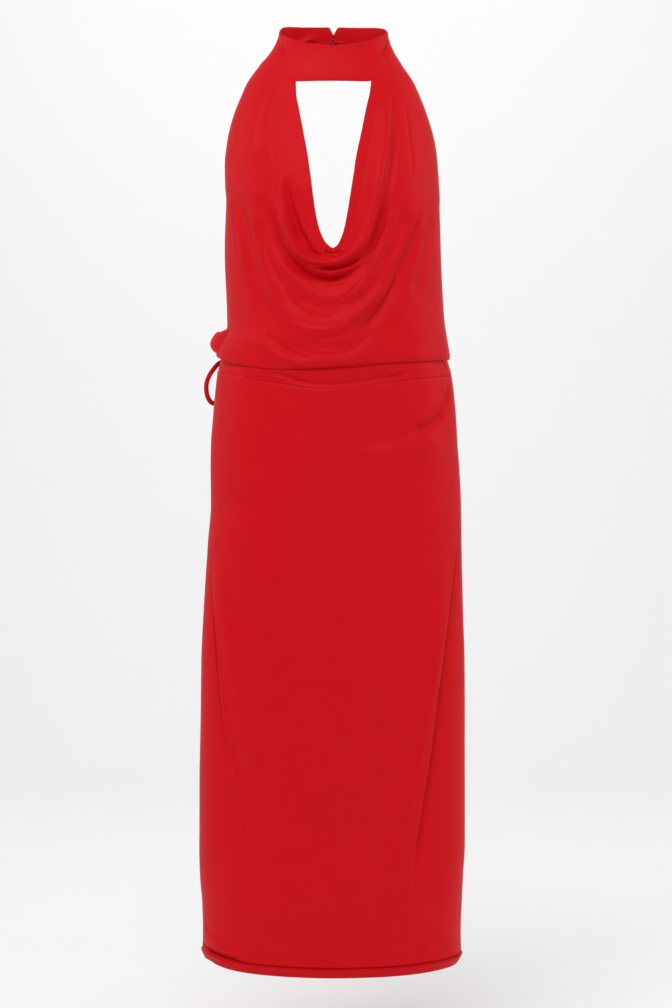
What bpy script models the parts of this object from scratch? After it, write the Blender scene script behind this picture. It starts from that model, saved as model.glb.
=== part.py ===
"""Full-length halter dress in jersey, as worn: stand collar, cowl front, open back, tied waist.

All tables are in millimetres. The origin is the neck, +Z is up, the front faces -Y, and a drop
is a distance below the neck. An azimuth is 0 at the centre front and +90 degrees at +X. Cloth is
an open surface in its worn shape, given its wall by a Solidify modifier on its inner side.
"""

import math

import bmesh
import bpy
import numpy as np

MM = 0.001

# ---------------------------------------------------------------- driving sizes, mm

SEAM_GAP = 0.3           # clearance that stands for each sewn seam
PANEL_GAP = 0.6          # at the outer side, which leaves about SEAM_GAP at the inner side
CLOTH_WALL = 1.5         # one layer of heavy jersey
COLLAR_CLEARANCE = 1.2   # from the collar to the bodice, down the cloth
COLLAR_WALL = 2.4        # the collar is a doubled band
COLLAR_HEIGHT = 50.0     # at the centre back

NECK_HALF_WIDTH = 75.3   # the collar's top ring, seen from above
NECK_HALF_DEPTH = 53.4
NECK_FULLNESS = 0.1
NECK_CENTRE_X = 2.0
NECK_CENTRE_Y = -5.0
COLLAR_FLARE = 1.6       # how quickly the collar spreads onto the shoulders
COLLAR_PROUD = 0.5       # the collar covers the bodice's raw edge
NOTCH_TOP = 4.9          # half width of the V at the centre back
NOTCH_START = 0.76       # height on the collar where that V begins
SLIT_HALF = 0.35         # below the V the two ends nearly meet

ROLL_RISE = 5.0          # the blouson's rolled lower edge, half its height
BAND_TUCK = 14.0         # the waistband reaches this far up behind the blouson
LEG_CLEARANCE = 0.9      # from the waistband to the cloth that is turned up against it
FULLNESS = 0.06          # how much squarer than an ellipse a section is
FLAT_RADIUS = 140.0      # opens the tube out: one radian is this long
FOLD_REACH = 1.6         # a fold ends at this many of its half widths from its line
FOLD_ENDS = 0.22         # share of its length over which a fold dies away at each end
TURN_STEP = 11.0         # width of the edge where the skirt's front turns away
TURN_STARTS = 0.3        # share of that edge over which it deepens
TURN_ENDS = 0.2
HEM_DEPTH = 13.0
HEM_STEP = 0.7           # the doubled hem stands proud

TIE_DIAMETER = 6.6
KNOT_WIDTH = 17.0
WIRE_DIAMETER = 1.2      # hook and eye at the back of the collar
EYE_HALF_WIDTH = 2.1
EYE_HALF_HEIGHT = 3.6
EYE_HEIGHT = 0.585       # share of the collar's height
EYE_CLEARANCE = 0.4

SEAM_RIGHT = math.radians(76)     # the skirt's side seams
SEAM_LEFT = math.radians(-96)

# ---------------------------------------------------------------- tables, mm and degrees

# drop, half width at -X, half width at +X, depth in front, depth behind
BODICE_FORM = np.array([
    (0, 84, 84, 54, 56),
    (19, 97, 94.5, 60, 60),
    (45, 116, 112, 66, 70),
    (62, 124, 120, 70, 76),
    (95, 137, 132.5, 82, 86),
    (130, 145, 142, 95, 93),
    (163, 148, 146, 107, 98),
    (215, 147, 149, 118, 99),
    (279, 148, 150, 119, 96),
    (345, 145.5, 153, 117, 94),
    (378, 144.5, 155.5, 116, 94),
    (391, 146, 157.5, 116, 95),
    (400, 151, 159, 116, 97),
    (409, 156.5, 160.5, 116, 99),
    (424, 160, 162.5, 116, 100),
    (460, 160, 163, 116, 101),
], float)

SKIRT_FORM = np.array([
    (400, 151, 154, 107.5, 87),
    (430, 154, 159.6, 109, 89),
    (447, 158, 164.2, 109.5, 91),
    (477, 161.5, 168.4, 110, 96),
    (511, 164.5, 171.3, 110.5, 104),
    (544, 167, 173, 110.8, 110),
    (577, 167.5, 175.5, 111, 114),
    (626, 167, 178, 111, 118),
    (676, 171, 179, 110, 118),
    (776, 178, 181.5, 108, 112),
    (842, 181, 183.5, 107, 108),
    (925, 182, 184, 106, 106),
    (1007, 183.5, 184, 106, 105),
    (1090, 183.5, 184, 107, 106),
    (1140, 182, 181, 108, 107),
    (1175, 179, 179, 108, 107.5),
    (1215, 178, 177.5, 105, 106),
    (1245, 179.5, 178, 101.5, 104),
    (1262, 181.5, 178, 100.5, 103),
], float)

# azimuth, height of the collar's top edge above the neck
COLLAR_RIM = np.array([
    (-180, 40.4), (-150, 38.6), (-130, 37), (-112, 33), (-90, 21.5), (-65, 12.7), (-50, 6.8),
    (-30, -1.6), (0, -6.6), (30, -1.5), (50, 6.8), (65, 13.2), (90, 21.5), (112, 31),
    (130, 35.6), (150, 38), (180, 40.4),
], float)

# azimuth, drop
COLLAR_SEAM = np.array([
    (-180, 5), (-135, 9), (-90, 19.3), (-49, 32), (-35, 42), (-27, 51.5), (-20, 54),
    (20, 54), (27, 52.5), (35, 44), (49, 33), (90, 18), (135, 9), (180, 5),
], float)
BLOUSON_EDGE = np.array([
    (-180, 424), (-130, 422), (-90, 424), (-45, 441), (-21, 447), (0, 445), (28, 438.5),
    (75, 430), (90, 428), (140, 424), (180, 424),
], float)
BAND_EDGE = np.array([
    (-180, 446), (-90, 447), (-68, 448), (-30, 463), (-6, 472), (15, 467.6), (37, 459.8),
    (73, 451.8), (90, 450), (180, 446),
], float)
HEM_EDGE = np.array([
    (-180, 1257), (-140, 1256), (-110, 1252), (-90, 1250.5), (-72, 1249.5), (-60, 1253),
    (-45, 1257), (-34, 1258.8), (-18, 1260.6), (0, 1261.6), (24, 1261), (39, 1259.8),
    (60, 1257.8), (90, 1256.5), (180, 1257),
], float)

# drop, azimuth of the bodice's free edge: armhole, then open back
FREE_EDGE = np.array([
    (17, 91), (45, 88), (79, 85), (113, 86), (146, 90), (165, 94), (200, 99), (250, 106),
    (330, 120), (380, 131), (424, 142), (450, 146),
], float)

# drop, x of the keyhole's left edge, x of its right edge
KEYHOLE = np.array([
    (52, -50, 55), (75, -49, 52), (93, -45.6, 47.5), (128, -38.7, 40.3), (162, -32.5, 33),
    (195, -27.8, 28), (227, -23.8, 23), (250, -20, 19), (268, -15, 15), (279, -9, 10),
    (284.2, -3.1, 6.2), (286.8, 0.8, 1.4),
], float)

# name, height, points of its line as (x, drop, half width)
BODICE_FOLDS = (
    ("main roll", 9.0, (
        (67, 66, 11), (73, 100, 13), (71, 140, 13), (61, 195, 12), (50, 244, 11), (36, 280, 9),
        (17, 300, 7), (-4, 305, 7), (-27, 304, 7), (-47, 289, 7), (-61, 254, 8), (-76, 185, 8))),
    ("under the main roll", -6.0, (
        (83, 84, 10), (81, 130, 10), (75, 179, 10), (67, 238, 9), (51, 283, 7), (31, 303, 5),
        (8, 312, 4), (-10, 313, 4), (-31, 309, 5), (-50, 293, 6))),
    ("second swag", 4.5, (
        (57, 262, 8), (46, 290, 6), (28, 309, 5), (0, 319, 5), (-20, 316, 5), (-36, 307, 5))),
    ("deep left fold", -7.0, (
        (-97, 206, 10), (-82, 248, 9), (-68, 286, 8), (-51, 309, 6.5), (-27, 323, 5.5),
        (-2, 327, 5), (13, 323, 5), (27, 316, 6), (40, 296, 6))),
    ("inner left fold", -3.5, (
        (-61, 184, 7), (-57, 227, 7), (-44, 264, 6), (-29, 289, 5))),
    ("third swag", 5.5, (
        (80, 288, 10), (58, 320, 10), (30, 343, 9), (-4, 352, 9), (-35, 341, 9), (-60, 313, 10),
        (-78, 276, 11))),
    ("right of the swags", -5.5, (
        (103, 224, 10), (89, 264, 10), (75, 298, 9), (56, 329, 8), (36, 350, 7))),
    ("fourth hollow", -3.5, (
        (-102, 244, 11), (-88, 282, 11), (-72, 318, 10), (-58, 342, 9))),
    ("below the third swag", 5.0, (
        (-48, 362, 13), (-28, 373, 16), (-4, 378, 17), (18, 373, 16), (38, 360, 13))),
    ("long right fold", -5.0, (
        (123, 244, 11), (104, 292, 11), (83, 336, 11), (53, 380, 10), (24, 402, 10))),
    ("fourth swag", 4.5, (
        (-78, 343, 10), (-58, 372, 10), (-37, 388, 10), (-15, 394, 10), (7, 390, 10),
        (28, 379, 10), (57, 353, 10), (80, 324, 10))),
    ("long left fold", -5.0, (
        (-133, 200, 12), (-121, 241, 12), (-109, 296, 12), (-93, 355, 12), (-69, 395, 11))),
    ("far right fold", -3.0, (
        (137, 238, 10), (123, 303, 10), (110, 352, 10))),
    ("below the fourth swag", 4.0, (
        (-60, 391, 11), (-36, 405, 12), (-10, 411, 12), (14, 407, 12), (42, 393, 11))),
    ("blouson swell", 3.5, (
        (-110, 402, 12), (-91, 414, 11), (-64, 430, 11), (-20, 436, 11), (28, 429, 11),
        (56, 417, 11), (84, 403, 12))),
    ("left shoulder drape", 3.0, (
        (-76, 62, 11), (-88, 110, 13), (-93, 165, 14))),
)

# name, height, points of its line as (azimuth, drop, half width)
SIDE_BACK_FOLDS = (
    ("left underarm drape", -4.0, ((-84, 190, 13), (-98, 270, 14), (-112, 350, 13))),
    ("left back drape", 4.0, ((-92, 230, 13), (-106, 310, 13), (-120, 385, 12))),
    ("beside the puff", -4.0, ((-77, 386, 6), (-77, 404, 7), (-77, 420, 6))),
    ("right underarm drape", -4.0, ((86, 205, 13), (99, 290, 14), (110, 365, 13))),
    ("right back drape", 4.0, ((94, 240, 13), (109, 320, 13), (124, 392, 12))),
)

# the bunched cloth over the tie at the left side back: azimuth, drop, height and reach
PUFF_AZIMUTH = math.radians(-101)
PUFF_DROP = 402.5
PUFF_HEIGHT = 16.0
PUFF_REACH = 60.0        # round the body
PUFF_HALF_HEIGHT = 15.5

SKIRT_FOLDS = (
    ("right hip hollow", -5.5, (
        (160, 462, 8), (157, 487, 8.5), (148, 508, 8.5), (128, 523, 8.5), (98, 534, 8.5))),
    ("right hip ridge", 3.5, (
        (143, 528, 10), (126, 540, 11), (97, 550, 12), (68, 558, 12), (34, 559, 11))),
    ("left inner ridge", 4.0, (
        (-160, 690, 14), (-146, 784, 15), (-132, 873, 16), (-113, 940, 15), (-88, 1020, 14))),
    ("right inner ridge", 4.0, (
        (160, 690, 14), (145, 800, 15), (128, 900, 16), (110, 1000, 16), (92, 1090, 15),
        (78, 1185, 14))),
)

# a front panel that turns away: name, depth, points of the edge as (x, drop, reach outwards)
SKIRT_TURNS = (
    ("left turn", 7.0, (
        (-170, 650, 22), (-159, 784, 30), (-152, 880, 36), (-144, 936, 42), (-128, 1011, 48),
        (-113, 1067, 50), (-100, 1130, 50))),
    ("right turn", 8.0, (
        (175, 592, 16), (170, 690, 22), (162, 757, 28), (155, 811, 34), (144, 884, 40),
        (136, 950, 46), (124, 1026, 50), (111, 1103, 54), (97, 1182, 54))),
)

# name, height, points as (azimuth, drop, half width)
SKIRT_BACK_FOLDS = (
    ("left seat drape", 4.0, ((-112, 470, 12), (-128, 560, 14), (-150, 640, 14))),
    ("right seat drape", 4.0, ((108, 468, 12), (124, 545, 14), (148, 615, 14))),
    ("left back fall", 5.0, ((-140, 760, 17), (-146, 960, 19), (-150, 1190, 20))),
    ("centre back fall", -4.0, ((-172, 790, 20), (-176, 980, 21), (-178, 1200, 21))),
    ("right back fall", 5.0, ((128, 730, 16), (138, 940, 19), (146, 1200, 20))),
    ("right back hollow", -5.0, ((112, 690, 14), (120, 900, 18), (124, 1180, 19))),
    ("left back hollow", -5.0, ((-116, 720, 14), (-122, 930, 18), (-126, 1180, 19))),
)

# the knot, as (azimuth, drop, distance out from the skirt)
KNOT_PLACE = (-125, 434, 9.0)
# name, whether its start and its finish meet the knot, and its line in the same measures
TIE_LINES = (
    ("tie_band", False, True, (
        (137, 428.2, 3.9), (141, 428.4, 3.9), (147, 430, 3.9), (155, 432.5, 3.9),
        (167, 434, 3.9), (180, 434.5, 3.9), (193, 434.5, 3.9), (205, 434, 3.9),
        (217, 433.6, 3.9), (224, 433.6, 3.9), (229, 433.6, 3.9))),
    ("tie_loop_side", True, True, (
        (-118.2, 428.1, 13.4), (-111.5, 429, 10.6), (-104, 436, 10), (-98.5, 448, 12.7),
        (-96.5, 460, 15), (-96.5, 471, 14.3), (-98.5, 481, 11.6), (-104, 487, 8.4),
        (-110, 482, 6.6), (-113, 467, 7.6), (-115, 453, 9.4), (-118, 441.3, 11.5))),
    ("tie_loop_back", True, True, (
        (-131.8, 428.1, 14), (-138, 428.8, 13), (-144, 435, 12.4), (-149, 447, 9.8),
        (-150, 461, 6.8), (-147.5, 473, 5.6), (-141.5, 477.5, 5.4), (-136.5, 467, 6.4),
        (-134, 453, 10), (-132, 441.3, 14))),
    ("tie_end_long", True, False, (
        (-128, 449.5, 7.2), (-129, 463, 5.1), (-129.4, 484, 4.8), (-129.5, 515, 4.7),
        (-128.5, 550, 4.7), (-130, 585, 4.7), (-131, 612, 4.7))),
    ("tie_end_short", True, False, (
        (-122, 449.5, 7.2), (-122, 463, 5.2), (-121.5, 484, 5), (-120, 515, 5),
        (-119.8, 545, 4.9), (-119, 572, 4.8))),
)
# the hook's wire, as (x, share of the collar's height, distance in from the collar)
HOOK_LINE = (
    (10.5, 0.585, 0.9), (7, 0.585, 0.9), (4.8, 0.585, 2.0), (2.8, 0.585, 2.9),
    (1.2, 0.585, 2.7), (0.2, 0.585, 1.6))

# ---------------------------------------------------------------- resolution of the solids

LINE_STEPS = 6           # samples for each stretch of a fold's line
KEYHOLE_FOOT = (230, 50)          # drop and reach of the closer steps round the keyhole's foot
FREE_EDGE_FOOT = (330, 40)        # the same, low on the free edges
KNOT_SEGMENTS = (16, 10)
EYE_POINTS = 16

BODICE_SIDE = 16         # cells along each free edge of the bodice
BODICE_WAIST = 32        # cells along its waist
BODICE_ACROSS = 24       # cells from the neckline to the free edge
NEAR_NECKLINE = 0.55     # how far the rows crowd towards the neckline, 0 to 1
ROLL_STEPS = 5
COLLAR_AROUND = 44
COLLAR_ROWS = 4
BAND_AROUND = 26
SKIRT_FRONT_AROUND = 32
SKIRT_BACK_AROUND = 24
SKIRT_ROWS = 17

# ---------------------------------------------------------------- smooth lookups


def smooth_lookup(value, places, amounts):
    """Read a table along a smooth curve through its rows that never overshoots them."""
    places = np.asarray(places, float)
    amounts = np.asarray(amounts, float)
    step = np.diff(places)
    rise = np.diff(amounts) / step
    slope = np.zeros_like(amounts)
    same_way = rise[:-1] * rise[1:] > 0
    total = np.where(same_way, rise[:-1] + rise[1:], 1.0)
    slope[1:-1] = np.where(same_way, 2 * rise[:-1] * rise[1:] / total, 0.0)
    slope[0] = rise[0]
    slope[-1] = rise[-1]
    value = np.clip(value, places[0], places[-1])
    cell = np.clip(np.searchsorted(places, value, "right") - 1, 0, len(step) - 1)
    t = (value - places[cell]) / step[cell]
    start = amounts[cell] * (2 * t**3 - 3 * t**2 + 1)
    finish = amounts[cell + 1] * (3 * t**2 - 2 * t**3)
    leave = slope[cell] * step[cell] * (t**3 - 2 * t**2 + t)
    arrive = slope[cell + 1] * step[cell] * (t**3 - t**2)
    return start + finish + leave + arrive


def by_azimuth(azimuth, table):
    """Read a table whose first column is an azimuth in degrees."""
    return smooth_lookup(np.degrees(azimuth), table[:, 0], table[:, 1])


def fade(value):
    """Rise smoothly from 0 to 1."""
    value = np.clip(value, 0.0, 1.0)
    return value * value * (3 - 2 * value)


def curve_through(points, steps):
    """A smooth line through hand-placed points, with steps samples for each stretch."""
    points = np.asarray(points, float)
    ends = np.vstack([2 * points[0] - points[1], points, 2 * points[-1] - points[-2]])
    line = []
    for before, start, finish, after in zip(ends, ends[1:], ends[2:], ends[3:]):
        for t in np.arange(steps) / steps:
            line.append(0.5 * (2 * start + (finish - before) * t
                               + (2 * before - 5 * start + 4 * finish - after) * t**2
                               + (3 * start - before - 3 * finish + after) * t**3))
    line.append(points[-1])
    return np.array(line)


# ---------------------------------------------------------------- the worn form


def ring_point(azimuth, drop, form, inset=0.0):
    """A point of the form's section at this drop, moved inwards by inset."""
    left, right, front, behind = (
        smooth_lookup(drop, form[:, 0], form[:, column]) - inset for column in (1, 2, 3, 4))
    sine = np.sin(azimuth)
    cosine = np.cos(azimuth)
    x = np.where(sine < 0, left, right) * sine * (1 + FULLNESS * cosine**2)
    y = -np.where(cosine > 0, front, behind) * cosine * (1 + FULLNESS * sine**2)
    return np.stack([x, y, -drop + 0 * x], axis=-1)


def azimuth_of_x(x, drop, form):
    """The azimuth in the front half whose point on the form has this x."""
    turn = np.radians(np.linspace(-90, 90, 361))
    return np.array([np.interp(one_x, ring_point(turn, np.full_like(turn, one_drop), form)[:, 0],
                               turn)
                     for one_x, one_drop in zip(x, drop)])


def roll_start(azimuth):
    """Drop at which the bodice begins to turn under at the waist."""
    return by_azimuth(azimuth, BLOUSON_EDGE) - ROLL_RISE


def bodice_base(azimuth, drop):
    """The bodice without its folds. Past roll_start it turns under and up to the waistband."""
    start = roll_start(azimuth)
    turn = np.clip((drop - start) / ROLL_RISE, 0.0, math.pi)
    rise = np.clip(drop - start - math.pi * ROLL_RISE, 0.0, None)
    hanging = np.minimum(drop, start)
    outer = ring_point(azimuth, hanging, BODICE_FORM)
    inner = ring_point(azimuth, start - rise, SKIRT_FORM, -LEG_CLEARANCE)
    inward = ((1 - np.cos(turn)) / 2)[..., None]
    point = outer + (inner - outer) * inward
    point[..., 2] = -hanging - ROLL_RISE * np.sin(turn) + rise
    return point


def skirt_base(azimuth, drop):
    return ring_point(azimuth, drop, SKIRT_FORM)


def outward(base, azimuth, drop):
    """Unit normals of a base form, pointing away from the wearer."""
    small = 0.01
    around = base(azimuth + small / FLAT_RADIUS, drop) - base(azimuth - small / FLAT_RADIUS, drop)
    down = base(azimuth, drop + small) - base(azimuth, drop - small)
    normal = np.cross(down, around)
    return normal / np.linalg.norm(normal, axis=-1, keepdims=True)


# ---------------------------------------------------------------- folds


def flat_line(points, form):
    """A fold's line on the opened-out cloth, from (x, drop, width) or (azimuth, drop, width)."""
    line = curve_through(points, LINE_STEPS)
    if form is None:
        turn = np.radians(line[:, 0])
    else:
        turn = azimuth_of_x(line[:, 0], line[:, 1], form)
    return np.stack([turn * FLAT_RADIUS, line[:, 1], line[:, 2]], axis=1)


def nearest_on_line(place, line):
    """For each place: distance to the line, which side, share of its length, and width there."""
    best = np.full(place.shape[:-1], 1e9)
    side = np.zeros_like(best)
    share = np.zeros_like(best)
    width = np.ones_like(best)
    lengths = np.linalg.norm(np.diff(line[:, :2], axis=0), axis=1)
    total = lengths.sum()
    travelled = 0.0
    for start, finish, length in zip(line[:-1], line[1:], lengths):
        direction = (finish[:2] - start[:2]) / length
        offset = place - start[:2]
        along = np.clip(offset @ direction, 0, length)
        gap = offset - along[..., None] * direction
        distance = np.linalg.norm(gap, axis=-1)
        closer = distance < best
        cross = direction[0] * offset[..., 1] - direction[1] * offset[..., 0]
        best = np.where(closer, distance, best)
        side = np.where(closer, np.sign(cross), side)
        share = np.where(closer, (travelled + along) / total, share)
        width = np.where(closer, start[2] + (finish[2] - start[2]) * along / length, width)
        travelled += length
    return best, side, share, width


def opened_out(azimuth, drop):
    return np.stack([azimuth * FLAT_RADIUS, drop + 0 * azimuth], axis=-1)


def fold_height(azimuth, drop, folds, form):
    """Sum of soft ridges and hollows, each dying away towards its ends."""
    place = opened_out(azimuth, drop)
    height = np.zeros(place.shape[:-1])
    for _name, amount, points in folds:
        distance, _side, share, width = nearest_on_line(place, flat_line(points, form))
        bump = np.clip(1 - (distance / (FOLD_REACH * width))**2, 0, None)**2
        height += amount * bump * fade(share / FOLD_ENDS) * fade((1 - share) / FOLD_ENDS)
    return height


def turn_height(azimuth, drop):
    """The skirt's front panel falls away sharply outside each turn and comes back slowly."""
    place = opened_out(azimuth, drop)
    height = np.zeros(place.shape[:-1])
    for _name, depth, points in SKIRT_TURNS:
        distance, side, share, reach = nearest_on_line(place, flat_line(points, SKIRT_FORM))
        away = np.sign(azimuth) * -side * distance
        step = fade(away / TURN_STEP + 0.5) * np.exp(-np.clip(away, 0, None) / reach)
        height -= depth * step * fade(share / TURN_STARTS) * fade((1 - share) / TURN_ENDS)
    return height


def puff_height(azimuth, drop):
    around = (azimuth - PUFF_AZIMUTH) * FLAT_RADIUS / PUFF_REACH
    down = (drop - PUFF_DROP) / PUFF_HALF_HEIGHT
    return PUFF_HEIGHT * np.clip(1 - around**2, 0, None) * np.sqrt(np.clip(1 - down**2, 0, None))


def bodice_point(azimuth, drop):
    """The bodice's outer side, folds and all."""
    height = fold_height(azimuth, drop, BODICE_FOLDS, BODICE_FORM)
    height += fold_height(azimuth, drop, SIDE_BACK_FOLDS, None)
    height += puff_height(azimuth, drop)
    height *= fade(1 - (drop - roll_start(azimuth)) / (2 * ROLL_RISE))
    return bodice_base(azimuth, drop) + height[..., None] * outward(bodice_base, azimuth, drop)


def skirt_point(azimuth, drop):
    """The skirt's outer side. The azimuth may run past 180 degrees, round the back."""
    turn = (azimuth + math.pi) % (2 * math.pi) - math.pi
    height = fold_height(turn, drop, SKIRT_FOLDS, SKIRT_FORM)
    height += fold_height(turn, drop, SKIRT_BACK_FOLDS, None)
    height += turn_height(turn, drop)
    height += HEM_STEP * fade((drop - by_azimuth(turn, HEM_EDGE) + HEM_DEPTH) / 1.5 + 0.5)
    return skirt_base(turn, drop) + height[..., None] * outward(skirt_base, turn, drop)


# ---------------------------------------------------------------- the bodice's grid


def even_steps(line, weight, count):
    """count + 1 points along a line, spaced evenly by its weighted length."""
    lengths = np.linalg.norm(np.diff(line[:, :2], axis=0), axis=1) * weight
    reached = np.concatenate([[0], np.cumsum(lengths)])
    wanted = np.linspace(0, reached[-1], count + 1)
    return np.stack([np.interp(wanted, reached, line[:, column]) for column in (0, 1)], axis=1)


def neckline(count):
    """The keyhole's edge on the opened-out cloth, closer steps round its foot."""
    left = KEYHOLE[:, [1, 0]]
    right = KEYHOLE[::-1][:, [2, 0]]
    edge = curve_through(np.vstack([left, right]), 8)
    turn = azimuth_of_x(edge[:, 0], edge[:, 1], BODICE_FORM)
    line = np.stack([turn * FLAT_RADIUS, edge[:, 1]], axis=1)
    foot, reach = KEYHOLE_FOOT
    return even_steps(line, 1 + 4 * fade((line[1:, 1] - foot) / reach), count)


def free_edge_line(side, samples=80):
    """Armhole and back edge, from the collar down to where the waist begins to roll."""
    drop = np.linspace(seam_drop(side * math.radians(90)), 440, samples)
    turn = side * np.radians(smooth_lookup(drop, FREE_EDGE[:, 0], FREE_EDGE[:, 1]))
    inside = drop < roll_start(turn)
    turn = turn[inside]
    drop = drop[inside]
    return np.stack([turn * FLAT_RADIUS, drop], axis=1)


def seam_drop(azimuth):
    """Where the bodice begins, just below the collar."""
    return by_azimuth(azimuth, COLLAR_SEAM) + COLLAR_CLEARANCE


def outer_edge(count_side, count_waist):
    """Down the left free edge, along the waist and up the right one."""
    left = free_edge_line(-1)
    right = free_edge_line(1)[::-1]
    turn = np.linspace(left[-1, 0], right[0, 0], 200) / FLAT_RADIUS
    waist = np.stack([turn * FLAT_RADIUS, roll_start(turn)], axis=1)
    foot, reach = FREE_EDGE_FOOT
    left_weight, right_weight = (1 + 1.5 * fade((edge[1:, 1] - foot) / reach)
                                 for edge in (left, right))
    return np.vstack([even_steps(left, left_weight, count_side)[:-1],
                      even_steps(waist, 1, count_waist),
                      even_steps(right, right_weight, count_side)[1:]])


def bodice_patch(count_side, count_waist, across):
    """Azimuth and drop of a grid whose rows are nested swags, from the neckline outwards."""
    along = 2 * count_side + count_waist
    inner = neckline(along)
    outer = outer_edge(count_side, count_waist)
    even = np.linspace(0, 1, across + 1)
    v = NEAR_NECKLINE * even**2 + (1 - NEAR_NECKLINE) * even
    starts = []
    for first, last in ((inner[0], outer[0]), (inner[-1], outer[-1])):
        flat = first[0] + (last[0] - first[0]) * v
        starts.append(np.stack([flat, seam_drop(flat / FLAT_RADIUS)], axis=1))
    u = np.linspace(0, 1, along + 1)[None, :, None]
    v = v[:, None, None]
    ends = starts[0][:, None] * (1 - u) + starts[1][:, None] * u
    corners = ((1 - u) * (1 - v) * inner[0] + u * (1 - v) * inner[-1]
               + (1 - u) * v * outer[0] + u * v * outer[-1])
    flat = (1 - v) * inner[None] + v * outer[None] + ends - corners
    return flat[..., 0] / FLAT_RADIUS, flat[..., 1]


# ---------------------------------------------------------------- collar and waistband


def collar_point(azimuth, height):
    """The collar's outer side: height 0 at its seam, 1 at its top edge."""
    bottom = ring_point(azimuth, by_azimuth(azimuth, COLLAR_SEAM), BODICE_FORM, -COLLAR_PROUD)
    sine = np.sin(azimuth)
    cosine = np.cos(azimuth)
    across = NECK_HALF_WIDTH * sine * (1 + NECK_FULLNESS * cosine**2)
    forward = NECK_HALF_DEPTH * cosine * (1 + NECK_FULLNESS * sine**2)
    top = np.stack([NECK_CENTRE_X + across, NECK_CENTRE_Y - forward,
                    by_azimuth(azimuth, COLLAR_RIM)], axis=-1)
    rise = height[..., None]
    point = top + (bottom - top) * (1 - rise)**COLLAR_FLARE
    point[..., 2:] = bottom[..., 2:] + (top - bottom)[..., 2:] * rise
    return point


def band_point(azimuth, height):
    """The waistband's outer side: height 0 at the skirt, 1 at its top under the blouson."""
    turn = (azimuth + math.pi) % (2 * math.pi) - math.pi
    bottom = by_azimuth(turn, BAND_EDGE) - SEAM_GAP
    top = by_azimuth(turn, BLOUSON_EDGE) - BAND_TUCK
    return skirt_base(turn, bottom + (top - bottom) * height)


def inside_collar(x, height, clearance):
    """Points inside the back of the collar, clear of its lining side."""
    azimuth = math.pi - np.asarray(x, float) / NECK_HALF_WIDTH
    height = np.asarray(height, float)
    small = 0.001
    point = collar_point(azimuth, height)
    up = collar_point(azimuth, height + small) - point
    around = collar_point(azimuth + small, height) - point
    normal = np.cross(up, around)
    normal /= np.linalg.norm(normal, axis=-1, keepdims=True)
    return point + normal * (COLLAR_WALL + WIRE_DIAMETER / 2 + clearance)[..., None]


def beside_skirt(azimuth, drop, clearance):
    """Points that stand out from the skirt, for what hangs on it."""
    turn = np.radians(np.asarray(azimuth, float))
    turn = (turn + math.pi) % (2 * math.pi) - math.pi
    drop = np.asarray(drop, float)
    return skirt_point(turn, drop) + outward(skirt_base, turn, drop) * clearance[..., None]


# ---------------------------------------------------------------- Blender objects


def clear_scene():
    for item in list(bpy.data.objects):
        bpy.data.objects.remove(item)


def make_material(name, colour, roughness, metallic):
    material = bpy.data.materials.new(name)
    material.use_nodes = True
    shader = material.node_tree.nodes["Principled BSDF"]
    shader.inputs["Base Color"].default_value = (*colour, 1)
    shader.inputs["Roughness"].default_value = roughness
    shader.inputs["Metallic"].default_value = metallic
    return material


def add_object(name, data, material, collection):
    item = bpy.data.objects.new(name, data)
    data.materials.append(material)
    collection.objects.link(item)
    return item


def add_cloth(name, points, grids, wall, material, collection):
    """Cloth from its outer side: points in mm and grids of point numbers, then its wall."""
    faces = []
    for grid in grids:
        for row in range(grid.shape[0] - 1):
            for column in range(grid.shape[1] - 1):
                faces.append((grid[row, column], grid[row + 1, column],
                              grid[row + 1, column + 1], grid[row, column + 1]))
    mesh = bpy.data.meshes.new(name)
    mesh.from_pydata((points * MM).tolist(), [], [[int(corner) for corner in face]
                                                  for face in faces])
    split = bmesh.new()
    split.from_mesh(mesh)
    bmesh.ops.triangulate(split, faces=split.faces, quad_method="SHORT_EDGE")
    split.to_mesh(mesh)
    split.free()
    mesh.shade_smooth()
    item = add_object(name, mesh, material, collection)
    solid = item.modifiers.new("wall", "SOLIDIFY")
    solid.thickness = wall * MM
    solid.offset = -1
    return item


def one_grid(rows, columns):
    return np.arange(rows * columns).reshape(rows, columns)


def add_tube(name, line, diameter, material, collection, closed=False):
    """A rouleau or wire along a line given in mm."""
    line = line * MM
    curve = bpy.data.curves.new(name, "CURVE")
    curve.dimensions = "3D"
    curve.bevel_depth = diameter * MM / 2
    curve.bevel_resolution = 2
    curve.use_fill_caps = True
    spline = curve.splines.new("POLY")
    spline.points.add(len(line) - 1)
    for point, place in zip(spline.points, line):
        point.co = (*place, 1)
    spline.use_cyclic_u = closed
    return add_object(name, curve, material, collection)


# ---------------------------------------------------------------- the pieces


def build_collar(material, collection):
    height = np.linspace(0, 1, COLLAR_ROWS + 1)[::-1, None] + np.zeros((1, COLLAR_AROUND + 1))
    share = np.linspace(-1, 1, COLLAR_AROUND + 1)[None, :]
    opening = SLIT_HALF + (NOTCH_TOP - SLIT_HALF) * np.clip(
        (height - NOTCH_START) / (1 - NOTCH_START), 0, 1)
    azimuth = share * (math.pi - opening / NECK_HALF_WIDTH)
    points = collar_point(azimuth, height)
    grid = one_grid(*height.shape)
    add_cloth("collar", points.reshape(-1, 3), [grid], COLLAR_WALL, material, collection)


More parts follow.
